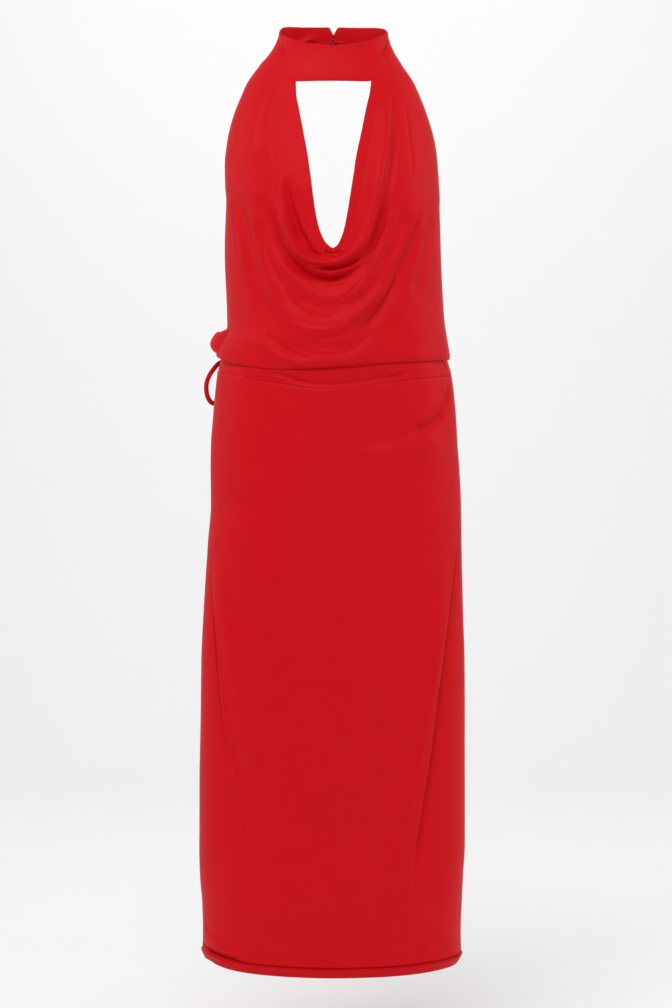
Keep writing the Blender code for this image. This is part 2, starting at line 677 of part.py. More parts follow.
def build_bodice(material, collection):
    azimuth, drop = bodice_patch(BODICE_SIDE, BODICE_WAIST, BODICE_ACROSS)
    patch = bodice_point(azimuth, drop)
    patch_grid = one_grid(*azimuth.shape)
    first = BODICE_SIDE
    last = BODICE_SIDE + BODICE_WAIST
    roll_length = math.pi * ROLL_RISE + BAND_TUCK - ROLL_RISE - SEAM_GAP
    waist_turn = azimuth[-1, first:last + 1][None, :]
    steps = np.linspace(0, 1, ROLL_STEPS + 1)[1:, None]
    roll_drop = roll_start(waist_turn) + roll_length * steps
    roll = bodice_point(waist_turn + 0 * roll_drop, roll_drop)
    roll_grid = one_grid(*roll_drop.shape) + azimuth.size
    roll_grid = np.vstack([patch_grid[-1, first:last + 1], roll_grid])
    points = np.vstack([patch.reshape(-1, 3), roll.reshape(-1, 3)])
    add_cloth("bodice_front", points, [patch_grid, roll_grid], CLOTH_WALL, material, collection)


def build_band(name, start, finish, material, collection):
    half_gap = PANEL_GAP / 2 / FLAT_RADIUS
    turn = np.linspace(start + half_gap, finish - half_gap, BAND_AROUND + 1)[None, :]
    height = np.linspace(1, 0, 3)[:, None] + 0 * turn
    points = band_point(turn + 0 * height, height)
    add_cloth(name, points.reshape(-1, 3), [one_grid(*height.shape)], CLOTH_WALL, material,
              collection)


def build_skirt(name, start, finish, around, material, collection):
    half_gap = PANEL_GAP / 2 / FLAT_RADIUS
    turn = np.linspace(start + half_gap, finish - half_gap, around + 1)[None, :]
    wrapped = (turn + math.pi) % (2 * math.pi) - math.pi
    top = by_azimuth(wrapped, BAND_EDGE)
    main_rows = np.linspace(0, 1, SKIRT_ROWS)[:, None]
    hem = by_azimuth(wrapped, HEM_EDGE)
    fold_line = hem - HEM_DEPTH
    drop = np.vstack([top + (fold_line - 1 - top) * main_rows, fold_line + 1, hem])
    points = skirt_point(turn + 0 * drop, drop)
    add_cloth(name, points.reshape(-1, 3), [one_grid(*drop.shape)], CLOTH_WALL, material,
              collection)


def build_tie(material, collection):
    knot_centre = beside_skirt(*np.array(KNOT_PLACE, float))

    def at_knot(place):
        away = place - knot_centre
        return knot_centre + away / np.linalg.norm(away) * (KNOT_WIDTH / 2 + SEAM_GAP)

    for name, starts_there, ends_there, points in TIE_LINES:
        places = beside_skirt(*np.array(points, float).T)
        if starts_there:
            places = np.vstack([at_knot(places[0]), places])
        if ends_there:
            places = np.vstack([places, at_knot(places[-1])])
        add_tube(name, curve_through(places, 2), TIE_DIAMETER, material, collection)
    knot_mesh = bpy.data.meshes.new("tie_knot")
    ball = bmesh.new()
    around, down = KNOT_SEGMENTS
    bmesh.ops.create_uvsphere(ball, u_segments=around, v_segments=down,
                              radius=KNOT_WIDTH * MM / 2)
    ball.to_mesh(knot_mesh)
    ball.free()
    knot_mesh.shade_smooth()
    knot = add_object("tie_knot", knot_mesh, material, collection)
    knot.location = knot_centre * MM


def build_closure(material, collection):
    turn = np.arange(EYE_POINTS) * 2 * math.pi / EYE_POINTS
    eye = inside_collar(EYE_HALF_WIDTH * np.cos(turn),
                        EYE_HEIGHT + EYE_HALF_HEIGHT / COLLAR_HEIGHT * np.sin(turn),
                        np.full_like(turn, EYE_CLEARANCE))
    add_tube("neck_eye", eye, WIRE_DIAMETER, material, collection, closed=True)
    hook = inside_collar(*curve_through(HOOK_LINE, 2).T)
    add_tube("neck_hook", hook, WIRE_DIAMETER, material, collection)


def main():
    clear_scene()
    collection = bpy.data.collections.new("halter_dress")
    bpy.context.scene.collection.children.link(collection)
    jersey = make_material("jersey", (0.58, 0.008, 0.018), 0.55, 0.0)
    rouleau = make_material("rouleau", (0.56, 0.008, 0.018), 0.6, 0.0)
    fastening = make_material("fastening", (0.5, 0.01, 0.02), 0.4, 0.3)
    build_collar(jersey, collection)
    build_bodice(jersey, collection)
    build_band("waistband_front", SEAM_LEFT, SEAM_RIGHT, jersey, collection)
    build_band("waistband_back", SEAM_RIGHT, SEAM_LEFT + 2 * math.pi, jersey, collection)
    build_skirt("skirt_front", SEAM_LEFT, SEAM_RIGHT, SKIRT_FRONT_AROUND, jersey, collection)
    build_skirt("skirt_back", SEAM_RIGHT, SEAM_LEFT + 2 * math.pi, SKIRT_BACK_AROUND, jersey,
                collection)
    build_tie(rouleau, collection)
    build_closure(fastening, collection)


main()
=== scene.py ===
"""The looks of a full-length halter dress in red jersey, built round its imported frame.

Tables are in millimetres: the origin is the neck, +Z is up, the front faces -Y, and a drop is a
distance below the neck. An azimuth is 0 at the centre front and +90 degrees at +X. The tables
of the form and of its folds are the part's own. Only the keyhole's foot lies 3 mm lower here,
the blouson turns under more sharply and the collar's ends meet. The tables of creases and
swells are this script's own.

Each piece of cloth but the collar is a grid of points in its worn shape, with its raw edges
turned in as they are sewn, and a Solidify modifier gives it the cloth's thickness. The collar
is a closed skin.
"""

import math

import bmesh
import bpy
import numpy as np
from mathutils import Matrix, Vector


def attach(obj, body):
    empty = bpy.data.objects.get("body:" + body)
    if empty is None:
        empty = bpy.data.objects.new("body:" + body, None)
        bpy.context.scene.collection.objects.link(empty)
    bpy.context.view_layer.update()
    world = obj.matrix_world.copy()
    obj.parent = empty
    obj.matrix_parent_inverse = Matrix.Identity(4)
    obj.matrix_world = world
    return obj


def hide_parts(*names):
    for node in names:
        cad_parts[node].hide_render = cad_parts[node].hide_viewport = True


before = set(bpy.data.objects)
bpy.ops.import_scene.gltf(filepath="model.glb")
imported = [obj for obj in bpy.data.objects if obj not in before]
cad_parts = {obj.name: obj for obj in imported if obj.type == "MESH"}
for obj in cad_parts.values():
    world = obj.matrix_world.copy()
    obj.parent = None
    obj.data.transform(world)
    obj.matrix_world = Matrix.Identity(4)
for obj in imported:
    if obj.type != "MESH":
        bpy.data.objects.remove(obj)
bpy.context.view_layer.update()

MM = 0.001

# ---------------------------------------------------------------- driving sizes, mm

CLOTH = 0.8              # one layer of slinky jersey
EDGE_RADIUS = 0.95       # of a raw edge that is turned in
SEAM_REACH = 0.3         # sideways, where two such edges are sewn together
SEAM_INSET = SEAM_REACH + 0.05    # from a seam's line to the edge's last row
NECK_EDGE_RADIUS = 1.9   # the cowl's edge is a soft fold
SEAM_ALLOWANCE = 7.0
FACING = 14.0            # the cowl's turned facing
EDGE_HEM = 8.0           # along the armholes and the open back
TUCK_UNDER_COLLAR = 3.0
FREE_EDGE_SEARCH = 440.0          # a drop below the waist's roll on either free edge

COLLAR_WALL = 2.4        # the collar is a doubled band
COLLAR_PROUD = 0.5
NECK_HALF_WIDTH = 75.3   # the collar's top ring, seen from above
NECK_HALF_DEPTH = 53.4
NECK_FULLNESS = 0.1
NECK_CENTRE_X = 2.0
NECK_CENTRE_Y = -5.0
COLLAR_FLARE = 1.6       # how quickly the collar spreads onto the shoulders
COLLAR_HEIGHT = 50.0     # at the centre back
NOTCH_TOP = 4.9          # half width of the V at the centre back
NOTCH_START = 0.76       # height on the collar where that V begins
SLIT_HALF = -0.5         # below the V the two rounded ends press on each other
COLLAR_END = 2.2         # reach of the rounding at each end of the collar
COLLAR_BUNCHING = 0.25   # how far the collar's columns crowd towards its two ends
COLLAR_ROLL_ROWS = 6     # round its top and bottom edges
COLLAR_ROW_FLAT = 1.5    # from row to row on the opened-out cloth

ROLL_RISE = 5.0          # the blouson's rolled lower edge, half its height
ROLL_SHAPE = 0.6         # 1 is round; below it the cloth hangs straighter and turns sharply
BAND_TUCK = 14.0         # the waistband reaches this far up behind the blouson
LEG_CLEARANCE = 0.9      # from the waistband to the cloth that is turned up against it
SEAM_GAP = 0.3
FULLNESS = 0.06          # how much squarer than an ellipse a section is
FLAT_RADIUS = 140.0      # opens the tube out: one radian is this long
FOLD_REACH = 1.6         # a fold ends at this many of its half widths from its line
FOLD_ENDS = 0.22         # share of its length over which a fold dies away at each end
CREASE_ENDS = 0.12       # the same, of a crease or a swell
SOFTEST = 0.5            # how rounded the bottom of a crease is
TURN_STEP = 11.0         # width of the edge where the skirt's front turns away
CRISP_TURN = 5.0         # the same, of the thin cloth
TURN_STARTS = 0.3        # share of that edge over which it deepens
TURN_ENDS = 0.2
HEM_DEPTH = 13.0
HEM_STEP = 0.7           # the doubled hem stands proud
HEM_RIM = 1.0            # and its fold line stands a little further out
HEM_STEP_LENGTH = 1.5    # over which it comes to stand proud
HEM_RIM_LENGTH = 2.0
HEM_FALL = 6.6           # from there it leans in down to its edge
HEM_FALL_CURVE = 1.3     # 1 is straight
HEM_GROOVE = 2.4         # depth of the furrow above it
HEM_GROOVE_REACH = 3.2
HEM_GROOVE_RISE = 0.6    # how far above the hem's top it is deepest

TIE_DIAMETER = 6.6
KNOT_WIDTH = 17.0
KNOT_TURNS = ((-0.6, 4.7, 3.7), (1.9, 4.4, 3.5))   # each: shift sideways, reach up, depth
KNOT_TILT = 0.35
KNOT_CORE = 6.4          # half length of the cord inside them
KNOT_BEND = 0.05
KNOT_SIDES = 20
WIRE_DIAMETER = 1.2      # hook and eye at the back of the collar
EYE_HALF_WIDTH = 2.1
EYE_HALF_HEIGHT = 3.6
EYE_HEIGHT = 0.585       # share of the collar's height
EYE_CLEARANCE = 0.4

STITCH_PITCH = 2.9
STITCH_LENGTH = 2.3
STITCH_SIDES = 6
THREAD = 0.32            # thread diameter
HEM_STITCHES = (9.6, 12.4)        # two rows, this far above the hem's edge
EDGE_STITCHES = 1.2               # one row, this far inside the end of the free edges' hem
WELD = 0.02              # points closer than this are one

SEAM_RIGHT = math.radians(76)     # the skirt's side seams
SEAM_LEFT = math.radians(-96)

CAMERA_PLACE = (0.0055, -3.09, -0.6265)     # level, at the middle of the dress
CAMERA_LENS = 80.0
CAMERA_SENSOR = 36.0

# ---------------------------------------------------------------- tables, mm and degrees

# drop, half width at -X, half width at +X, depth in front, depth behind
BODICE_FORM = np.array([
    (0, 84, 84, 54, 56),
    (19, 97, 94.5, 60, 60),
    (45, 116, 112, 66, 70),
    (62, 124, 120, 70, 76),
    (95, 137, 132.5, 82, 86),
    (130, 145, 142, 95, 93),
    (163, 148, 146, 107, 98),
    (215, 147, 149, 118, 99),
    (279, 148, 150, 119, 96),
    (345, 145.5, 153, 117, 94),
    (378, 144.5, 155.5, 116, 94),
    (391, 146, 157.5, 116, 95),
    (400, 151, 159, 116, 97),
    (409, 156.5, 160.5, 116, 99),
    (424, 160, 162.5, 116, 100),
    (460, 160, 163, 116, 101),
], float)

SKIRT_FORM = np.array([
    (400, 151, 154, 107.5, 87),
    (430, 154, 159.6, 109, 89),
    (447, 158, 164.2, 109.5, 91),
    (477, 161.5, 168.4, 110, 96),
    (511, 164.5, 171.3, 110.5, 104),
    (544, 167, 173, 110.8, 110),
    (577, 167.5, 175.5, 111, 114),
    (626, 167, 178, 111, 118),
    (676, 171, 179, 110, 118),
    (776, 178, 181.5, 108, 112),
    (842, 181, 183.5, 107, 108),
    (925, 182, 184, 106, 106),
    (1007, 183.5, 184, 106, 105),
    (1090, 183.5, 184, 107, 106),
    (1140, 182, 181, 108, 107),
    (1175, 179, 179, 108, 107.5),
    (1215, 178, 177.5, 105, 106),
    (1245, 179.5, 178, 101.5, 104),
    (1262, 181.5, 178, 100.5, 103),
], float)

# azimuth, height of the collar's top edge above the neck
COLLAR_RIM = np.array([
    (-180, 40.4), (-150, 38.6), (-130, 37), (-112, 33), (-90, 21.5), (-65, 12.7), (-50, 6.8),
    (-30, -1.6), (0, -6.6), (30, -1.5), (50, 6.8), (65, 13.2), (90, 21.5), (112, 31),
    (130, 35.6), (150, 38), (180, 40.4),
], float)

# azimuth, drop
COLLAR_SEAM = np.array([
    (-180, 5), (-135, 9), (-90, 19.3), (-49, 32), (-35, 42), (-27, 51.5), (-20, 54),
    (20, 54), (27, 52.5), (35, 44), (49, 33), (90, 18), (135, 9), (180, 5),
], float)
BLOUSON_EDGE = np.array([
    (-180, 424), (-130, 422), (-90, 424), (-45, 441), (-21, 447), (0, 445), (28, 438.5),
    (75, 430), (90, 428), (140, 424), (180, 424),
], float)
BAND_EDGE = np.array([
    (-180, 446), (-90, 447), (-68, 448), (-30, 463), (-6, 472), (15, 467.6), (37, 459.8),
    (73, 451.8), (90, 450), (180, 446),
], float)
HEM_EDGE = np.array([
    (-180, 1257), (-140, 1256), (-110, 1252), (-90, 1250.5), (-72, 1249.5), (-60, 1253),
    (-45, 1257), (-34, 1258.8), (-18, 1260.6), (0, 1261.6), (24, 1261), (39, 1259.8),
    (60, 1257.8), (90, 1256.5), (180, 1257),
], float)

# drop, azimuth of the bodice's free edge: armhole, then open back
FREE_EDGE = np.array([
    (17, 91), (45, 88), (79, 85), (113, 86), (146, 90), (165, 94), (200, 99), (250, 106),
    (330, 120), (380, 131), (424, 142), (450, 146),
], float)

# drop, x of the keyhole's left edge, x of its right edge; its foot is lower than the solids'
KEYHOLE = np.array([
    (52, -50, 55), (75, -49, 52), (93, -45.6, 47.5), (128, -38.7, 40.3), (162, -32.5, 33),
    (195, -27.8, 28), (227, -23.8, 23), (250, -20, 19), (268, -15, 15), (280.5, -9, 10),
    (286.4, -3.6, 6.2), (289.4, 0.8, 1.8),
], float)

# name, height, points of its line as (x, drop, half width)
BODICE_FOLDS = (
    ("main roll", 9.0, (
        (67, 66, 11), (73, 100, 13), (71, 140, 13), (61, 195, 12), (50, 244, 11), (36, 280, 9),
        (17, 300, 7), (-4, 305, 7), (-27, 304, 7), (-47, 289, 7), (-61, 254, 8), (-76, 185, 8))),
    ("under the main roll", -6.0, (
        (83, 84, 10), (81, 130, 10), (75, 179, 10), (67, 238, 9), (51, 283, 7), (31, 303, 5),
        (8, 312, 4), (-10, 313, 4), (-31, 309, 5), (-50, 293, 6))),
    ("second swag", 4.5, (
        (57, 262, 8), (46, 290, 6), (28, 309, 5), (0, 319, 5), (-20, 316, 5), (-36, 307, 5))),
    ("deep left fold", -7.0, (
        (-97, 206, 10), (-82, 248, 9), (-68, 286, 8), (-51, 309, 6.5), (-27, 323, 5.5),
        (-2, 327, 5), (13, 323, 5), (27, 316, 6), (40, 296, 6))),
    ("inner left fold", -3.5, (
        (-61, 184, 7), (-57, 227, 7), (-44, 264, 6), (-29, 289, 5))),
    ("third swag", 5.5, (
        (80, 288, 10), (58, 320, 10), (30, 343, 9), (-4, 352, 9), (-35, 341, 9), (-60, 313, 10),
        (-78, 276, 11))),
    ("right of the swags", -5.5, (
        (103, 224, 10), (89, 264, 10), (75, 298, 9), (56, 329, 8), (36, 350, 7))),
    ("fourth hollow", -3.5, (
        (-102, 244, 11), (-88, 282, 11), (-72, 318, 10), (-58, 342, 9))),
    ("below the third swag", 5.0, (
        (-48, 362, 13), (-28, 373, 16), (-4, 378, 17), (18, 373, 16), (38, 360, 13))),
    ("long right fold", -5.0, (
        (123, 244, 11), (104, 292, 11), (83, 336, 11), (53, 380, 10), (24, 402, 10))),
    ("fourth swag", 4.5, (
        (-78, 343, 10), (-58, 372, 10), (-37, 388, 10), (-15, 394, 10), (7, 390, 10),
        (28, 379, 10), (57, 353, 10), (80, 324, 10))),
    ("long left fold", -5.0, (
        (-133, 200, 12), (-121, 241, 12), (-109, 296, 12), (-93, 355, 12), (-69, 395, 11))),
    ("far right fold", -3.0, (
        (137, 238, 10), (123, 303, 10), (110, 352, 10))),
    ("below the fourth swag", 4.0, (
        (-60, 391, 11), (-36, 405, 12), (-10, 411, 12), (14, 407, 12), (42, 393, 11))),
    ("blouson swell", 3.5, (
        (-110, 402, 12), (-91, 414, 11), (-64, 430, 11), (-20, 436, 11), (28, 429, 11),
        (56, 417, 11), (84, 403, 12))),
    ("left shoulder drape", 3.0, (
        (-76, 62, 11), (-88, 110, 13), (-93, 165, 14))),
)

# name, height, points of its line as (azimuth, drop, half width)
SIDE_BACK_FOLDS = (
    ("left underarm drape", -4.0, ((-84, 190, 13), (-98, 270, 14), (-112, 350, 13))),
    ("left back drape", 4.0, ((-92, 230, 13), (-106, 310, 13), (-120, 385, 12))),
    ("beside the puff", -4.0, ((-77, 386, 6), (-77, 404, 7), (-77, 420, 6))),
    ("right underarm drape", -4.0, ((86, 205, 13), (99, 290, 14), (110, 365, 13))),
    ("right back drape", 4.0, ((94, 240, 13), (109, 320, 13), (124, 392, 12))),
)

# the bunched cloth over the tie at the left side back: azimuth, drop, height and reach
PUFF_AZIMUTH = math.radians(-101)
PUFF_DROP = 402.5
PUFF_HEIGHT = 16.0
PUFF_REACH = 60.0        # round the body
PUFF_HALF_HEIGHT = 15.5

# name, height, points of its line as (x, drop, half width)
SKIRT_FOLDS = (
    ("right hip hollow", -5.5, (
        (160, 462, 8), (157, 487, 8.5), (148, 508, 8.5), (128, 523, 8.5), (98, 534, 8.5))),
    ("right hip ridge", 3.5, (
        (143, 528, 10), (126, 540, 11), (97, 550, 12), (68, 558, 12), (34, 559, 11))),
    ("left inner ridge", 4.0, (
        (-160, 690, 14), (-146, 784, 15), (-132, 873, 16), (-113, 940, 15), (-88, 1020, 14))),
    ("right inner ridge", 4.0, (
        (160, 690, 14), (145, 800, 15), (128, 900, 16), (110, 1000, 16), (92, 1090, 15),
        (78, 1185, 14))),
)

# a front panel that turns away: name, depth, points of the edge as (x, drop, reach outwards)
SKIRT_TURNS = (
    ("left turn", 7.0, (
        (-170, 650, 22), (-159, 784, 30), (-152, 880, 36), (-144, 936, 42), (-128, 1011, 48),
        (-113, 1067, 50), (-100, 1130, 50))),
    ("right turn", 8.0, (
        (175, 592, 16), (170, 690, 22), (162, 757, 28), (155, 811, 34), (144, 884, 40),
        (136, 950, 46), (124, 1026, 50), (111, 1103, 54), (97, 1182, 54))),
)

# name, height, points as (azimuth, drop, half width)
SKIRT_BACK_FOLDS = (
    ("left seat drape", 4.0, ((-112, 470, 12), (-128, 560, 14), (-150, 640, 14))),
    ("right seat drape", 4.0, ((108, 468, 12), (124, 545, 14), (148, 615, 14))),
    ("left back fall", 5.0, ((-140, 760, 17), (-146, 960, 19), (-150, 1190, 20))),
    ("centre back fall", -4.0, ((-172, 790, 20), (-176, 980, 21), (-178, 1200, 21))),
    ("right back fall", 5.0, ((128, 730, 16), (138, 940, 19), (146, 1200, 20))),
    ("right back hollow", -5.0, ((112, 690, 14), (120, 900, 18), (124, 1180, 19))),
    ("left back hollow", -5.0, ((-116, 720, 14), (-122, 930, 18), (-126, 1180, 19))),
)

# the knot, as (azimuth, drop, distance out from the skirt)
KNOT_PLACE = (-125, 434, 9.0)
# name, whether its start and its finish meet the knot, and its line in the same measures
TIE_LINES = (
    ("tie_band", False, True, (
        (137, 428.2, 3.9), (141, 428.4, 3.9), (147, 430, 3.9), (155, 432.5, 3.9),
        (167, 434, 3.9), (180, 434.5, 3.9), (193, 434.5, 3.9), (205, 434, 3.9),
        (217, 433.6, 3.9), (224, 433.6, 3.9), (229, 433.6, 3.9))),
    ("tie_loop_side", True, True, (
        (-118.2, 428.1, 13.4), (-111.5, 429, 10.6), (-104, 436, 10), (-98.5, 448, 12.7),
        (-96.5, 460, 15), (-96.5, 471, 14.3), (-98.5, 481, 11.6), (-104, 487, 8.4),
        (-110, 482, 6.6), (-113, 467, 7.6), (-115, 453, 9.4), (-118, 441.3, 11.5))),
    ("tie_loop_back", True, True, (
        (-131.8, 428.1, 14), (-138, 428.8, 13), (-144, 435, 12.4), (-149, 447, 9.8),
        (-150, 461, 6.8), (-147.5, 473, 5.6), (-141.5, 477.5, 5.4), (-136.5, 467, 6.4),
        (-134, 453, 10), (-132, 441.3, 14))),
    ("tie_end_long", True, False, (
        (-128, 449.5, 7.2), (-129, 463, 5.1), (-129.4, 484, 4.8), (-129.5, 515, 4.7),
        (-128.5, 550, 4.7), (-130, 585, 4.7), (-131, 612, 4.7))),
    ("tie_end_short", True, False, (
        (-122, 449.5, 7.2), (-122, 463, 5.2), (-121.5, 484, 5), (-120, 515, 5),
        (-119.8, 545, 4.9), (-119, 572, 4.8))),
)
# the hook's wire, as (x, share of the collar's height, distance in from the collar)
HOOK_LINE = (
    (10.5, 0.585, 0.9), (7, 0.585, 0.9), (4.8, 0.585, 2.0), (2.8, 0.585, 2.9),
    (1.2, 0.585, 2.7), (0.2, 0.585, 1.6))

# ---------------------------------------------------------------- finer folds than the solids have

# Each line: name, height, its first and second reach sideways, and its points, whose last value
# is the strength there. Seen from outside, the second reach is on the right hand of the line's
# way: below a line that runs to +X, and away from the centre front where a line runs down on
# the left or up on the right.

# points as (azimuth, share of the collar's height, strength). Heights run upwards, so here the
# second reach is on the left hand: above a line that runs to +X.
COLLAR_CREASES = (
    ("left break", -4.2, 9, 4, (
        (-92, 0.83, 0.8), (-79, 0.78, 1), (-70, 0.73, 1), (-60.5, 0.675, 1), (-47.5, 0.49, 0.8),
        (-42, 0.4, 0.4))),
    ("right break", -4.2, 9, 4, (
        (45, 0.38, 0.4), (50, 0.458, 0.8), (61, 0.61, 1), (72, 0.734, 1), (80, 0.77, 1),
        (92, 0.8, 0.8))),
    ("seam ridge", 1.1, 3, 10, (
        (-40, 0.09, 0.6), (-20, 0.07, 1), (-4, 0.06, 1), (16, 0.07, 1), (42, 0.1, 0.6))),
    ("right shoulder drape", -0.9, 5, 5, (
        (47, 0.12, 0.6), (50, 0.3, 1), (49, 0.5, 1), (46, 0.7, 0.6))),
    ("left shoulder drape", -0.7, 5, 5, (
        (-58, 0.1, 0.6), (-52, 0.25, 1), (-50, 0.4, 0.8))),
    ("inside the left back", -3.6, 6, 9, (
        (-166, 0.62, 0.6), (-157, 0.66, 1), (-148, 0.55, 1), (-138, 0.5, 1), (-124, 0.6, 0.6))),
    ("inside the right back", -1.2, 6, 8, (
        (128, 0.62, 0.6), (142, 0.52, 1), (156, 0.58, 0.7))),
)
# points as (x, drop, strength)
BODICE_CREASES = (
    ("beside the neck edge", -3.8, 6, 4, (
        (-64, 192, 0.4), (-57, 226, 0.8), (-48, 254, 1), (-38, 273, 1.1), (-28, 289, 1.2),
        (-17, 298, 1.2), (-5, 303, 1), (7, 303, 0.7))),
    ("main roll, left crest", 2.8, 7, 9, (
        (-71, 232, 0.5), (-63, 253, 1), (-55, 273, 1.1), (-46, 289, 1.1), (-34, 301, 1),
        (-20, 307, 0.8), (-2, 308, 0.5))),
    ("main roll, right crest", 3.0, 15, 8, (
        (0, 305, 0.3), (15, 301, 0.5), (29, 292, 0.8), (41, 280, 1.1), (50, 264, 1.3),
        (55, 246, 1.3), (59, 222, 1.3), (65, 195, 1.3), (71, 166, 1.3), (73, 138, 1.2),
        (74, 110, 1), (73, 81, 0.6))),
    ("outer roll, right", 2.2, 9, 13, (
        (16, 348, 0.4), (27, 338, 0.8), (41, 325, 1.1), (55, 309, 1.2), (65, 291, 1.1),
        (75, 272, 1), (83, 250, 0.8), (90, 227, 0.5))),
    ("thin fold by the edge", -1.2, 2.5, 4, (
        (-48, 199, 0.7), (-42, 222, 1), (-37, 247, 1), (-32, 265, 0.8))),
    ("main line", -3.0, 3.5, 7, (
        (-92, 209, 0.4), (-83, 233, 0.4), (-72, 259, 0.4), (-60, 281, 0.4), (-48, 297, 0.5),
        (-34, 306, 0.7), (-20, 311, 0.9), (-2, 314, 1), (15, 311, 1), (27, 304, 1),
        (40, 289, 1.1), (51, 273, 1.1), (59, 249, 1), (64, 222, 1), (69, 194, 0.9),
        (74, 171, 0.8), (79, 145, 0.8), (81, 109, 0.9), (81, 68, 0.8))),
    ("second line", -2.8, 3.5, 8, (
        (-88, 227, 0.8), (-81, 250, 1), (-73, 275, 1.3), (-62, 294, 1.3), (-49, 309, 1.1),
        (-34, 320, 1), (-18, 326, 1), (0, 327, 1), (15, 324, 0.9), (28, 317, 0.8),
        (41, 305, 0.6), (53, 289, 0.6), (64, 270, 0.5), (72, 248, 0.5))),
    ("right of the swags", -2.4, 4, 6, (
        (7, 358, 0.5), (21, 348, 1), (35, 333, 1.2), (48, 313, 1), (61, 289, 0.6),
        (75, 264, 0.6), (84, 241, 0.6), (92, 213, 0.5))),
    ("long right line", -3.4, 4.5, 7, (
        (37, 395, 0.6), (52, 382, 0.9), (67, 361, 1), (79, 340, 1.1), (88, 318, 1.1),
        (98, 293, 1.1), (106, 269, 0.9), (116, 245, 0.8), (124, 221, 0.6))),
    ("its branch", -1.4, 3, 4, (
        (-18, 409, 0.8), (-1, 405, 1), (17, 397, 1), (37, 382, 1), (49, 370, 0.7))),
    ("far right line", -1.5, 2.5, 4, (
        (105, 360, 0.6), (113, 339, 1), (120, 312, 1), (126, 284, 1), (130, 254, 1),
        (134, 221, 1), (136, 200, 0.8))),
    ("long left line", -1.7, 3, 5, (
        (-124, 210, 0.7), (-118, 237, 1), (-111, 272, 1), (-103, 302, 1), (-95, 333, 1),
        (-85, 358, 1), (-75, 384, 0.8), (-64, 404, 0.6))),
    ("left line", -1.5, 3, 5, (
        (-93, 274, 0.7), (-84, 301, 1), (-72, 327, 1), (-60, 346, 1), (-46, 363, 1),
        (-32, 375, 0.7))),
    ("low left line", -3.8, 6, 10, (
        (-88, 398, 0.5), (-81, 406, 0.9), (-68, 417, 1.1), (-53, 425, 1.1), (-37, 432, 1),
        (-26, 436, 0.6))),
    ("low right line", -1.8, 6, 9, (
        (8, 430, 0.5), (21, 425, 1), (33, 416, 1), (45, 406, 0.8), (55, 394, 0.5))),
    ("long left crest", 1.8, 9, 5, (
        (-127, 209, 0.6), (-120, 237, 1), (-110, 279, 1), (-99, 320, 1), (-88, 351, 1),
        (-73, 377, 0.7))),
    ("long right crest", 1.6, 9, 4, (
        (68, 352, 0.8), (79, 334, 1.1), (90, 314, 1.1), (99, 289, 1), (109, 259, 1),
        (117, 234, 0.5))),
    ("far right crest", 1.3, 8, 4, (
        (113, 337, 0.7), (121, 305, 1), (127, 268, 1), (130, 232, 0.5))),
    ("crest of the fourth swag", 2.2, 7, 25, (
        (-68, 373, 0.5), (-56, 383, 0.8), (-42, 390, 1), (-26, 395, 1), (-12, 396, 1),
        (4, 394, 1), (19, 387, 1), (33, 375, 0.9), (48, 362, 0.9), (60, 346, 0.8),
        (71, 325, 0.5))),
    ("crest of the third swag", 0.7, 8, 22, (
        (-61, 332, 0.5), (-46, 345, 1), (-29, 352, 1), (-10, 355, 1), (8, 352, 1),
        (24, 344, 0.5))),
    ("small crest", 2.0, 8, 6, (
        (-38, 415, 0.7), (-26, 421, 1), (-10, 425, 1), (6, 423, 0.7))),
    ("left edge line", -1.2, 4, 4, (
        (-137, 211, 0.7), (-134, 235, 1), (-131, 269, 1), (-128, 299, 0.7))),
    ("left shoulder line", -0.8, 6, 6, (
        (-72, 69, 0.5), (-75, 95, 1), (-78, 124, 1), (-79, 152, 1), (-75, 180, 0.6))),
    ("right shoulder line", -1.0, 5, 6, (
        (106, 189, 0.6), (108, 164, 1), (105, 136, 1), (102, 107, 1), (98, 78, 0.5))),
)
# soft forms with no crisp line, in the same measures
BODICE_SWELLS = (
    ("slot under the keyhole", -3.0, 5, 5, (
        (-11, 291, 0.7), (-4, 295, 1), (2, 296.5, 1), (8, 295, 1), (14, 290, 0.6))),
    ("outside the main roll, right", -3.0, 7, 8, (
        (39, 300, 0.6), (52, 285, 1), (63, 268, 1), (69, 250, 1), (73, 225, 0.5))),
    ("over the waist", 1.5, 18, 6, (
        (-120, 431, 0.5), (-93, 435, 1), (-43, 438.5, 1), (11, 438.5, 1), (64, 434, 1),
        (105, 430, 0.9), (135, 428, 0.5))),
)
# points as (azimuth, drop, strength), on the sides and side backs of the bodice
SIDE_CREASES = (
    ("left side line", -1.8, 4, 7, (
        (-86, 178, 0.6), (-95, 240, 1), (-104, 300, 1), (-112, 348, 0.7))),
    ("left drape to the puff", -2.2, 4, 6, (
        (-76, 300, 0.5), (-84, 345, 0.9), (-93, 375, 1.1), (-104, 386, 0.8))),
    ("into the puff", -1.6, 3, 4, (
        (-88, 372, 0.7), (-97, 392, 1), (-102, 410, 0.8))),
    ("right side line", -1.8, 7, 4, (
        (112, 356, 0.6), (104, 310, 1), (96, 250, 1), (89, 190, 0.6))),
    ("right drape to the tie", -2.0, 4, 6, (
        (84, 350, 0.5), (96, 386, 1), (110, 402, 1), (126, 408, 0.7))),
)
